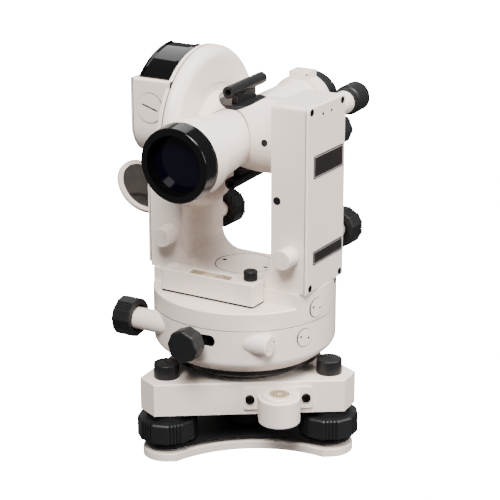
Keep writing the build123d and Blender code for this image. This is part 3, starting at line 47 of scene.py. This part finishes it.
AZIMUTH = math.radians(30.60)
ELEVATION = math.radians(18.58)
LENS_MM = 118.4
SENSOR_MM = 36
CAMERA_DISTANCE = 1.161
AIM_HEIGHT = 0.1386
AIM_SIDE = 0.0036
FLOOR_HALF = 6.0
FLOOR_GLOW = 24.0
ROOM_LIGHT = 0.2
LAMPS = {
    "key_lamp": ((0.5, -1.2, 1.7), 0.15, 0.8, 92),
    "back_lamp": ((-0.75, 1.0, 1.5), 0.12, 1.1, 9),
    "top_lamp": ((0.9, 0.4, 1.9), 0.12, 0.8, 44),
    "side_lamp": ((1.5, 0.1, 0.7), 0.15, 0.8, 20),
}


def add_object(name, data):
    obj = bpy.data.objects.new(name, data)
    scene.collection.objects.link(obj)
    return obj


def pale_floor():
    """White floor that glows, so that it stays white round the shadow, and lights nothing else."""
    material = bpy.data.materials.new("pale_floor")
    material.use_nodes = True
    shader = material.node_tree.nodes["Principled BSDF"]
    shader.inputs["Base Color"].default_value = (0.93, 0.93, 0.93, 1)
    shader.inputs["Roughness"].default_value = 0.9
    shader.inputs["Emission Color"].default_value = (1, 1, 1, 1)
    shader.inputs["Emission Strength"].default_value = FLOOR_GLOW
    mesh = bpy.data.meshes.new("floor")
    corners = [(x * FLOOR_HALF, y * FLOOR_HALF, 0) for x, y in ((-1, -1), (1, -1), (1, 1), (-1, 1))]
    mesh.from_pydata(corners, [], [(0, 1, 2, 3)])
    mesh.materials.append(material)
    floor = add_object("floor", mesh)
    floor.visible_diffuse = False
    floor.visible_glossy = False
    return floor


floor = pale_floor()

world = bpy.data.worlds.new("white_room")
scene.world = world
world.use_nodes = True
world.node_tree.nodes["Background"].inputs["Color"].default_value = (1, 0.995, 0.985, 1)
world.node_tree.nodes["Background"].inputs["Strength"].default_value = ROOM_LIGHT

for lamp_name, (lamp_place, aim_height, size, watts) in LAMPS.items():
    lamp = bpy.data.lights.new(lamp_name, "AREA")
    lamp.energy = watts
    lamp.size = size
    lamp_object = add_object(lamp_name, lamp)
    lamp_object.location = lamp_place
    lamp_aim = Vector((0, 0, aim_height)) - Vector(lamp_place)
    lamp_object.rotation_euler = lamp_aim.to_track_quat("-Z", "Y").to_euler()

camera_side = Vector((math.cos(AZIMUTH), math.sin(AZIMUTH), 0))
view_axis = Vector((-math.sin(AZIMUTH) * math.cos(ELEVATION), math.cos(AZIMUTH) * math.cos(ELEVATION),
                    -math.sin(ELEVATION)))
camera_data = bpy.data.cameras.new("camera")
camera_data.lens = LENS_MM
camera_data.sensor_width = SENSOR_MM
camera_data.clip_start = 0.05
camera_data.clip_end = 50
camera = add_object("camera", camera_data)
camera.location = Vector((0, 0, AIM_HEIGHT)) + AIM_SIDE * camera_side - CAMERA_DISTANCE * view_axis
camera.rotation_euler = view_axis.to_track_quat("-Z", "Y").to_euler()
scene.camera = camera


# White castings: the level housing, mirror frame, drive tubes, rear ring and all the larger castings below
# are light alloy with a stoved white enamel. It is even, faintly warm, with a very fine orange peel.

WHITE = (0.87, 0.75, 0.665)
BLACK = (0.006, 0.006, 0.0065)


class Value:
    """A number that varies over a surface. Arithmetic on it adds Math nodes to its material."""

    def __init__(self, finish, socket):
        self.finish = finish
        self.socket = socket

    def math(self, operation, *others):
        return self.finish.node("ShaderNodeMath", {"operation": operation}, [self, *others])

    def __add__(self, other):
        return self.math("ADD", other)

    __radd__ = __add__

    def __mul__(self, other):
        return self.math("MULTIPLY", other)

    __rmul__ = __mul__

    def __sub__(self, other):
        return self.math("SUBTRACT", other)

    def __rsub__(self, other):
        return self * -1 + other

    def __truediv__(self, other):
        return self.math("DIVIDE", other)

    def __lt__(self, other):
        return self.math("LESS_THAN", other)

    def __gt__(self, other):
        return self.math("GREATER_THAN", other)

    def __or__(self, other):
        return self.math("MAXIMUM", other)

    def abs(self):
        return self.math("ABSOLUTE")

    def step(self, low, high):
        """0 below low, 1 above high, smooth between."""
        values = {"Value": self, "From Min": low, "From Max": high}
        return self.finish.node("ShaderNodeMapRange", {"interpolation_type": "SMOOTHSTEP"}, values)


class Finish:
    """A material being put together: nodes are added with their settings, then their inputs."""

    def __init__(self, name, metallic=0.0, colour=(0.8, 0.8, 0.8)):
        self.material = bpy.data.materials.new(name)
        self.material.use_nodes = True
        self.tree = self.material.node_tree
        self.shader = self.tree.nodes["Principled BSDF"]
        self.set(metallic=metallic, base_color=(*colour, 1))

    def set(self, **inputs):
        for name, value in inputs.items():
            self.feed(self.shader.inputs[name.replace("_", " ").title().replace("Ior", "IOR")], value)

    def feed(self, socket, value):
        if isinstance(value, Value):
            self.tree.links.new(value.socket, socket)
        else:
            socket.default_value = value

    def node(self, kind, settings, inputs, output=0):
        made = self.tree.nodes.new(kind)
        for name, value in settings.items():
            setattr(made, name, value)
        pairs = inputs.items() if isinstance(inputs, dict) else enumerate(inputs)
        for name, value in pairs:
            self.feed(made.inputs[name], value)
        return Value(self, made.outputs[output])

    def place(self, centre=(0, 0, 0), turn=(0, 0, 0)):
        """Object coordinates in metres, measured from a centre in millimetres and turned."""
        where = self.node("ShaderNodeTexCoord", {}, {}, "Object")
        values = {"Vector": where, "Location": [v * MM for v in centre], "Rotation": turn}
        return self.node("ShaderNodeMapping", {"vector_type": "TEXTURE"}, values)

    def axis(self, place, name):
        return self.node("ShaderNodeSeparateXYZ", {}, [place], name)

    def noise(self, place, scale, detail=3.0):
        return self.node("ShaderNodeTexNoise", {}, {"Vector": place, "Scale": scale, "Detail": detail})

    def mix(self, factor, first, second):
        """Colour between two colours."""
        made = self.tree.nodes.new("ShaderNodeMix")
        made.data_type = "RGBA"
        self.feed(made.inputs[0], factor)
        self.feed(made.inputs[6], first if isinstance(first, Value) else (*first, 1))
        self.feed(made.inputs[7], second if isinstance(second, Value) else (*second, 1))
        return Value(self, made.outputs[2])

    def bump(self, height, distance):
        """Relief of a height pattern, its distance in metres."""
        values = {"Height": height, "Distance": distance, "Strength": 1.0}
        self.set(normal=self.node("ShaderNodeBump", {}, values))


def enamel(name, primer_and_shade=None):
    """White enamel. The optional mask gives the surface that is painted black instead: painted shade in
    seams, holes and slots, and black surface elsewhere.
    """
    finish = Finish(name)
    place = finish.place()
    coat = finish.mix(finish.noise(place, 14), WHITE, [0.965 * c for c in WHITE])
    rough = 0.34 + 0.08 * finish.noise(place, 60)
    if primer_and_shade:
        primer_and_shade_mask = primer_and_shade(finish)
        coat = finish.mix(primer_and_shade_mask, coat, BLACK)
        rough = rough + 0.3 * primer_and_shade_mask
    finish.set(base_color=coat, roughness=rough, coat_weight=0.15, coat_roughness=0.25)
    finish.bump(finish.noise(place, 900, 1), 0.00003)
    return finish.material


def dress(material, *names):
    """Give CAD nodes their material."""
    for name in names:
        nodes[name].data.materials.clear()
        nodes[name].data.materials.append(material)


dress(enamel("white_enamel"), "circular_level_housing", "mirror_ring", "mirror_frame",
      "standard_drive_housings", "rear_ring", "microscope_tube")


# Joints of the housings: the castings meet at rounded edges with a fine groove, and a dark line of painted
# shade is painted along each joint. The bowl stays black inside.

HOUSING_R = 65.0
HOUSING_SEAM_Z = 101.9
RIGHT_SEAM_X = 62.3
LEFT_SEAM_X = -61.7
COVER_FOOT_Z = 124.6
COVER_HOLE_Y = 6.0
COVER_HOLE_Z = 246.8
COVER_HOLE_R = 1.1
CIRCLE_SEAM_X = -31.3
BOWL_INSIDE_R = 63.4
BOWL_INSIDE_Z = 77.5
CENTRE_PLATE_R = 21.0
FORK_FLOOR_Z = 128.7
SEAM_HALF = 0.24
CIRCLE_SEAM_HALF = 0.4


def distance(finish, place, first="X", second="Y"):
    """Distance in metres from the axis that the two named coordinates leave out."""
    x, y = finish.axis(place, first), finish.axis(place, second)
    return (x * x + y * y).math("SQRT")


def line(value, at, half=SEAM_HALF):
    """1 where a value in metres lies within half a line's width, in millimetres, of a place."""
    return (value - at * MM).abs() < half * MM


def between(value, low, high):
    """1 where a value in metres lies between two sizes in millimetres."""
    return (value > low * MM) * (value < high * MM)


# Painted shade along the housing seam, and the bowl black inside.
def bowl_seam_shade_and_inside(finish):
    place = finish.place()
    z = finish.axis(place, "Z")
    return line(z, HOUSING_SEAM_Z) | (distance(finish, place) < BOWL_INSIDE_R * MM) * (z > BOWL_INSIDE_Z * MM)


# Painted shade along the housing seam, along the cover seams and round the centre plate in the fork floor.
def frame_painted_shade(finish):
    place = finish.place()
    x, z = finish.axis(place, "X"), finish.axis(place, "Z")
    floor_ring_shade = line(distance(finish, place), CENTRE_PLATE_R + 0.1)
    floor_ring_shade = floor_ring_shade * between(z, FORK_FLOOR_Z - 1.2, FORK_FLOOR_Z + 0.8)
    cover_seam_shade = (line(x, RIGHT_SEAM_X) | line(x, LEFT_SEAM_X)) * (z > COVER_FOOT_Z * MM)
    return line(z, HOUSING_SEAM_Z) | cover_seam_shade | floor_ring_shade


def cover_painted_shade(finish):
    """Painted shade along the seams and in the two blind holes high in the right cover."""
    place = finish.place()
    x, y, z = (finish.axis(place, name) for name in "XYZ")
    y, z = y.abs() - COVER_HOLE_Y * MM, z - COVER_HOLE_Z * MM
    holes = (y * y + z * z).math("SQRT") < COVER_HOLE_R * MM
    return line(x, RIGHT_SEAM_X) | line(x, LEFT_SEAM_X) | holes * (x > 0)


# Painted shade along the seams of the circle housing and its cover.
def circle_painted_shade(finish):
    x = finish.axis(finish.place(), "X")
    return line(x, CIRCLE_SEAM_X, CIRCLE_SEAM_HALF) | line(x, LEFT_SEAM_X)


dress(enamel("bowl_enamel", bowl_seam_shade_and_inside), "lower_housing")
dress(enamel("frame_enamel", frame_painted_shade), "upper_frame")
dress(enamel("cover_enamel", cover_painted_shade), "right_cover", "left_cover")
dress(enamel("circle_enamel", circle_painted_shade), "circle_housing", "circle_cover")


# Plugs in the housings: each is turned, enamelled and pressed in, with a dark line of painted shade round it,
# and painted shade in its pin-spanner holes or slot. The centre plate in the fork floor is held in the same
# way.

PLUG_ANGLES = (-20.5, -10.3)
PLUG_HEIGHTS = (92.5, 111.4)
PLUG_RADII = (6.5, 7.0)
PLUG_HEAD = 0.6
PIN_HOLE_X = 16.7
PIN_HOLE_R = 1.7
CIRCLE_PLUG_AT = (-47.9, 0, 245.0)
CIRCLE_PLUG_R = 10.5
CIRCLE_PLUG_FACE = 45.8
CIRCLE_SLOT_DEEP = 1.7


def sunk_shade(finish, centre, turn, radius, face, deep=0.22):
    """1 on a round face's edge and below its face, where shade is painted. Local X points out of the face."""
    here = finish.place(centre, turn)
    out = finish.axis(here, "X")
    across = distance(finish, here, "Y", "Z")
    near = (across < (radius + 0.6) * MM) * between(out, face - 4, face + 1)
    return near * ((across > (radius - 0.3) * MM) | (out < (face - deep) * MM))


# Painted shade round the plugs and the centre plate, in the circle plug's slot and in the centre plate's pin
# holes.
def plug_painted_shade(finish):
    quarter = math.radians(-90)
    recess_shade = sunk_shade(finish, (0, 0, 0), (0, quarter, 0), CENTRE_PLATE_R, FORK_FLOOR_Z)
    recess_shade = recess_shade | sunk_shade(finish, CIRCLE_PLUG_AT, (0, 0, quarter), CIRCLE_PLUG_R, CIRCLE_PLUG_FACE,
                         CIRCLE_SLOT_DEEP)
    for angle, height, radius in zip(PLUG_ANGLES, PLUG_HEIGHTS, PLUG_RADII):
        turn = (0, 0, math.radians(angle))
        recess_shade = recess_shade | sunk_shade(finish, (0, 0, height), turn, radius, HOUSING_R + PLUG_HEAD)
    here = finish.place()
    x, y = finish.axis(here, "X").abs() - PIN_HOLE_X * MM, finish.axis(here, "Y")
    holes = (x * x + y * y).math("SQRT") < PIN_HOLE_R * MM
    return recess_shade | holes * between(finish.axis(here, "Z"), FORK_FLOOR_Z - 3.7, FORK_FLOOR_Z + 0.3)


dress(enamel("plug_enamel", plug_painted_shade), "body_plugs")


# Spring cap of the horizontal drive: an enamelled cap that screws in, with painted shade in its two
# pin-spanner holes.

CAP_AT = (0, -49.7, 92.6)
CAP_FACE_R = 6.5
CAP_HOLES = (46.0, 49.5)


# Painted shade in the cap's two pin-spanner holes.
def cap_hole_shade(finish):
    here = finish.place(CAP_AT)
    return (distance(finish, here, "Y", "Z") < CAP_FACE_R * MM) * between(finish.axis(here, "X"), *CAP_HOLES)


dress(enamel("drive_enamel", cap_hole_shade), "horizontal_drive_housings")


# Plate level's housing: a cast box on a dark gasket, which shows as a band along its foot.

LEVEL_FOOT_Z = 116.3


def level_marks(finish):
    return finish.axis(finish.place(), "Z") < LEVEL_FOOT_Z * MM


dress(enamel("plate_level_enamel", level_marks), "plate_level_housing")


# Telescope body: drum and tubes in one casting, with a fine line where the front tube meets the drum.

TRUNNION_Z = 225.1
TUBE_LINE_R = 20.1
DRUM_LINE_R = 26.08
TUBE_LINE_DARK = 0.6


def telescope_marks(finish):
    here = finish.place((0, 0, TRUNNION_Z))
    on_tube = distance(finish, here, "X", "Z") < TUBE_LINE_R * MM
    on_drum = distance(finish, here, "Y", "Z") < DRUM_LINE_R * MM
    return on_tube * on_drum * (finish.axis(here, "Y") < 0) * TUBE_LINE_DARK


dress(enamel("telescope_enamel", telescope_marks), "telescope_body")


# Base plate and levelling body: the same castings, with the tripod boss in black, and the levelling body's
# top round the centring socket painted black as painted shade under the bowl and the cone.

BOSS_R = 17.5
BOSS_FOOT_Z = 6.2
SOCKET_SPACE_R = 42.0
SOCKET_ROOF_Z = 57.0


def boss(finish):
    place = finish.place()
    return (distance(finish, place) < BOSS_R * MM) * (finish.axis(place, "Z") > BOSS_FOOT_Z * MM)


# Painted shade: the levelling body round the centring socket, under the bowl and the cone, is painted black.
def socket_painted_shade(finish):
    place = finish.place()
    return (distance(finish, place) < SOCKET_SPACE_R * MM) * (finish.axis(place, "Z") < SOCKET_ROOF_Z * MM)


dress(enamel("base_plate_enamel", boss), "base_plate")
dress(enamel("levelling_body_enamel", socket_painted_shade), "tribrach_body")


# Black painted parts: the spring plate, the cone under the bowl, the foot screw bushes, the objective ring
# and the open sights are turned or cast, then finished in satin black.

OBJECTIVE_BLACK = (0.0012, 0.0012, 0.0013)


def black_finish(name, roughness, grain, depth, specular=0.3, colour=BLACK):
    """Faintly clouded black with a grain, its scale per metre and its depth in metres."""
    finish = Finish(name)
    place = finish.place()
    finish.set(base_color=finish.mix(finish.noise(place, 35), colour, [1.9 * c for c in colour]))
    finish.set(roughness=roughness + 0.1 * finish.noise(place, 90), specular_ior_level=specular)
    finish.bump(finish.noise(place, grain, 2), depth)
    return finish.material


satin_black = black_finish("satin_black", 0.34, 700, 0.00003)
dress(satin_black, "spring_plate", "centring_cone", "axis_sleeve", "foot_screw_bushes", "level_adjuster")
dress(black_finish("objective_black", 0.08, 500, 0.000003, 0.4, OBJECTIVE_BLACK), "objective_ring")
dress(black_finish("sight_black", 0.36, 800, 0.00004), "sights")


# Moulded black knobs: foot screws, slow-motion knobs, clamp knobs and the eyepiece rings are moulded plastic
# with a fine matt texture on their grips.

moulded_black = black_finish("moulded_black", 0.4, 1400, 0.00006)
dress(moulded_black, "foot_screw_1", "foot_screw_2", "foot_screw_3", "horizontal_tangent_knob",
      "vertical_tangent_knob", "index_tangent_knob", "horizontal_clamp_knob", "vertical_clamp_knob",
      "focus_ring", "telescope_eyepiece", "microscope_eyepiece")


# Inner metal: the spindle, pins, plungers and axles are ground steel, the collar, arm and frame machined
# light alloy, and the bearings brass. The small screws are blackened steel and the gasket is rubber.

def metal(name, colour, roughness):
    finish = Finish(name, 1.0, colour)
    finish.set(roughness=roughness + 0.12 * finish.noise(finish.place(), 300))
    return finish.material


dress(metal("ground_steel", (0.56, 0.57, 0.58), 0.25), "vertical_spindle", "horizontal_tangent_pin",
      "horizontal_plunger", "vertical_tangent_pin", "vertical_plunger", "index_tangent_pin", "index_plunger",
      "trunnion_axle")
dress(metal("machined_alloy", (0.72, 0.73, 0.74), 0.35), "vertical_clamp_arm", "index_frame")
dress(metal("browned_steel", (0.06, 0.045, 0.035), 0.4), "clamp_collar")
dress(metal("bearing_brass", (0.68, 0.48, 0.2), 0.3), "trunnion_bearings")
dress(metal("blackened_steel", (0.022, 0.02, 0.019), 0.38), "cover_screws", "circular_level_screws")
dress(black_finish("gasket_rubber", 0.8, 400, 0.00002), "level_gasket")


# Glass: the objective is coated and drawn opaque, nearly black, with the tube's black inside and its shade
# painted in. The circles and the index vial are clear, the light window is ground, and the mirror is dark
# glass with a metal coat.

def clear_glass(name, colour):
    finish = Finish(name, 0.0, colour)
    finish.set(transmission_weight=0.95, ior=1.5, roughness=0.02 + 0.04 * finish.noise(finish.place(), 40))
    return finish.material


dress(clear_glass("circle_glass", (0.85, 0.93, 0.9)), "horizontal_circle", "vertical_circle", "index_vial")
ground_glass = Finish("ground_glass", 0.0, (0.85, 0.88, 0.86))
ground_glass.set(roughness=0.5)
ground_glass.bump(ground_glass.noise(ground_glass.place(), 1500), 0.00005)
dress(ground_glass.material, "light_window")
# The lens is opaque: its near-black colour paints in the tube's black inside and the shade in it, seen
# through the glass.
shaded_lens = Finish("coated_lens_with_painted_shade", 0.0, (0.002, 0.0015, 0.006))
shaded_lens.set(roughness=0.02 + 0.04 * shaded_lens.noise(shaded_lens.place(), 25), specular_ior_level=0.25)
dress(shaded_lens.material, "objective_lens")
dress(metal("mirror_coat", (0.2, 0.19, 0.185), 0.02), "mirror_glass")


# Hood over the index level: moulded in glossy black, so it mirrors the lamps.

gloss = Finish("glossy_hood", 0.0, (0.0012, 0.0012, 0.0014))
gloss.set(roughness=0.03 + 0.06 * gloss.noise(gloss.place(), 45), specular_ior_level=0.5)
gloss.bump(gloss.noise(gloss.place(), 30), 0.00004)
dress(gloss.material, "index_hood")


# Circular level: a cream vial in a white collar, with fine rings on the glass round the bubble.

ROUND_GLASS_R = 6.6
ROUND_RINGS = ((2.2, 0.22), (4.2, 0.22), (ROUND_GLASS_R, 0.2))
ROUND_BUBBLE = (1.6, 2.1)
ROUND_LIQUID = ((0.6, 0.5, 0.36), (0.42, 0.33, 0.21))
ROUND_LINE = (0.1, 0.065, 0.035)

vial_low, vial_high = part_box("circular_level_vial")
round_vial = Finish("round_vial")
vial_place = round_vial.place(tuple((vial_low + vial_high) / 2 / MM))
from_middle = distance(round_vial, vial_place) * (1 / MM)
inner, outer, edge = ((from_middle - radius).abs() < half for radius, half in ROUND_RINGS)
liquid = round_vial.mix(from_middle.step(*ROUND_BUBBLE), *ROUND_LIQUID)
vial_face = round_vial.mix(from_middle > ROUND_GLASS_R, liquid, WHITE)
vial_face = round_vial.mix(inner | outer | edge, vial_face, ROUND_LINE)
round_vial.set(base_color=vial_face, roughness=0.12, coat_weight=0.8)
dress(round_vial.material, "circular_level_vial")


# Plate level: a long vial in its seat, with brown graduations either side of a pale bubble, seen through
# a flat window glass that lies just under the housing's top.

LEVEL_PITCH = 2.0
LEVEL_STRIPE = 0.13
LEVEL_CLEAR = 5.5
LEVEL_BUBBLE = (4.6, 5.2)
LEVEL_LIQUID = ((0.72, 0.6, 0.43), (0.55, 0.42, 0.26))
LEVEL_CLOUD = (0.3, 0.2, 0.11)
LEVEL_LINE = (0.16, 0.09, 0.05)
WINDOW_X = (-20.3, 10.8)
WINDOW_Y = (-41.2, -34.8)
WINDOW_TOP_Z = 130.9
WINDOW_THICK = 0.4
SAME_POINT = 1e-7


def grid_mesh(name, points, material):
    """A mesh through a grid of points in millimetres (rows, columns, 3) whose columns close on themselves.
    Rows shrunk to one point become poles once doubles are merged."""
    rows, columns = points.shape[:2]
    index = np.arange(rows * columns).reshape(rows, columns)
    following = np.roll(index, -1, axis=1)
    quads = np.stack([index[:-1], following[:-1], following[1:], index[1:]], axis=-1)
    mesh = bpy.data.meshes.new(name)
    mesh.from_pydata((points * MM).reshape(-1, 3).tolist(), [], quads.reshape(-1, 4).tolist())
    work = bmesh.new()
    work.from_mesh(mesh)
    bmesh.ops.remove_doubles(work, verts=work.verts, dist=SAME_POINT)
    bmesh.ops.recalc_face_normals(work, faces=work.faces)
    work.to_mesh(mesh)
    work.free()
    mesh.materials.append(material)
    return add_object(name, mesh)


def level_look(centre):
    """Cream liquid, a paler bubble, and fine brown lines across it on both sides."""
    finish = Finish("plate_vial")
    place = finish.place(centre)
    along = finish.axis(place, "X") * (1 / MM)
    stripe = ((along / LEVEL_PITCH).math("FRACT") - 0.5).abs() < LEVEL_STRIPE
    marked = stripe * (along.abs() > LEVEL_CLEAR)
    fluid = finish.mix(along.abs().step(*LEVEL_BUBBLE), *LEVEL_LIQUID)
    fluid = finish.mix(finish.noise(place, 260) * 0.5, fluid, LEVEL_CLOUD)
    finish.set(base_color=finish.mix(marked, fluid, LEVEL_LINE), roughness=0.1, coat_weight=0.6)
    return finish.material


def level_window():
    """Flat box as a grid: each column is a corner, middle + share * (corner - middle), and the share goes
    0, 1, 1, 0 from the box's foot to its top."""
    corners = np.array([(x, y) for y, row in zip(WINDOW_Y, (WINDOW_X, WINDOW_X[::-1])) for x in row])
    middle = corners.mean(axis=0)
    share = np.array([0, 1, 1, 0])[:, None, None]
    flat = middle + share * (corners - middle)
    height = WINDOW_TOP_Z - WINDOW_THICK * np.array([1, 1, 0, 0])
    return np.concatenate([flat, np.repeat(height[:, None, None], 4, axis=1)], axis=2)


tube_low, tube_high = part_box("plate_level_vial")
tube_look = level_look(tuple((tube_low + tube_high) / 2 / MM))
dress(tube_look, "plate_level_vial")
window = grid_mesh("plate_level_window", level_window(), tube_look)
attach(window, "alidade")


# Small screws: blackened steel, with a hexagon socket or a plain dimple, set flush in the front of the right
# standard, in the telescope's drum, in the circle cover and in the side of the upper housing.

SCREW_STEPS = 36
SCREW_SUNK = 0.6
SOCKET_SHARE = 0.45
HEXAGON = 0.07
HOUSING_SCREW_ANGLE = 0.28
HOUSING_SCREW_Z = 121.8


def screw(name, centre, out, radius, body):
    """Flush screw: a profile (r, h) carried round its axis, so a point is centre + h * out + r * (cos v * a +
    sin v * b). The socket's radius swings with cos 6v towards a hexagon. Sizes in millimetres."""
    out = Vector(out).normalized()
    first = out.orthogonal().normalized()
    second = out.cross(first)
    turn = np.linspace(0, 2 * np.pi, SCREW_STEPS, endpoint=False)
    socket = SOCKET_SHARE * radius * (1 + HEXAGON * np.cos(6 * turn))
    rim = np.full(SCREW_STEPS, radius)
    r = np.array([0 * rim, socket, socket, 0.8 * rim, rim, rim, 0 * rim])[..., None]
    h = np.array([0.06, 0.06, 0.2, 0.3, 0.12, -SCREW_SUNK, -SCREW_SUNK])[:, None, None]
    around = np.cos(turn)[:, None] * np.array(first) + np.sin(turn)[:, None] * np.array(second)
    piece = grid_mesh(name, np.array(centre) + h * np.array(out) + r * around, screw_black)
    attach(piece, body)


screw_black = black_finish("screw_black", 0.3, 600, 0.00002)
screw("standard_set_screw", (40.9, -26.7, 188.0), (0, -1, 0), 2.8, "alidade")
screw("drum_screw", (30.6, -25.97, 226.6), (0, -1, 0.06), 2.4, "telescope")
screw("circle_cover_pin", (-22.3, -9.8, 245.8), (1, 0, 0), 0.8, "alidade")
out_of_housing = np.array([math.cos(HOUSING_SCREW_ANGLE), math.sin(HOUSING_SCREW_ANGLE), 0])
screw("housing_screw", HOUSING_R * out_of_housing + (0, 0, HOUSING_SCREW_Z), out_of_housing, 1.8, "alidade")


# Bare plates: two thin anodised plates on the right cover, dark with a pale line near the edge. What they say
# on the real instrument is left off.

PLATE_FACE_X = 64.15
PLATE_THICK = 0.35
PLATE_CORNER = 0.9
PLATE_BEVEL = 0.15
PLATE_STEPS = 48
PLATE_LINE = (-1.25, -0.75)
PLATE_COLOURS = ((0.009, 0.007, 0.0065), (0.014, 0.011, 0.0105))
PLATE_LINE_COLOUR = (0.4, 0.37, 0.35)


def plate_look(name, middle, half):
    """Dark, with a pale line that follows the edge: rim is how far a point lies past the plate's edge."""
    finish = Finish(name)
    place = finish.place((0, *middle))
    rim = (finish.axis(place, "Y").abs() - half[0] * MM) | (finish.axis(place, "Z").abs() - half[1] * MM)
    cloud = finish.mix(finish.noise(finish.place(), 120), *PLATE_COLOURS)
    coloured = finish.mix(between(rim, *PLATE_LINE), cloud, PLATE_LINE_COLOUR)
    finish.set(base_color=coloured, roughness=0.35, specular_ior_level=0.25)
    return finish.material


def plate(name, low, high):
    """Rounded rectangle upright in a plane of constant x: rings of one outline, (cy, cz) of the nearest
    corner plus corner * (cos v, sin v), run from the back to a bevelled front and close at the middle."""
    turn = np.linspace(0, 2 * np.pi, PLATE_STEPS, endpoint=False)
    middle = (np.array(low) + np.array(high)) / 2
    half = (np.array(high) - np.array(low)) / 2
    round_corner = np.stack([np.cos(turn), np.sin(turn)], axis=-1)
    corner_centre = np.sign(round_corner) * (half - PLATE_CORNER)
    outline = corner_centre + PLATE_CORNER * round_corner
    front = corner_centre + (PLATE_CORNER - PLATE_BEVEL) * round_corner
    flat = middle + np.array([0 * outline, outline, outline, front, 0 * outline])
    x = PLATE_FACE_X + PLATE_THICK * np.array([0, 0, 0.6, 1, 1])
    x = np.repeat(x[:, None, None], PLATE_STEPS, axis=1)
    piece = grid_mesh(name, np.concatenate([x, flat], axis=2), plate_look(name + "_finish", middle, half))
    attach(piece, "alidade")


plate("upper_bare_plate", (-18.4, 204.2), (23.3, 220.0))
plate("lower_bare_plate", (-18.0, 143.4), (24.3, 153.2))
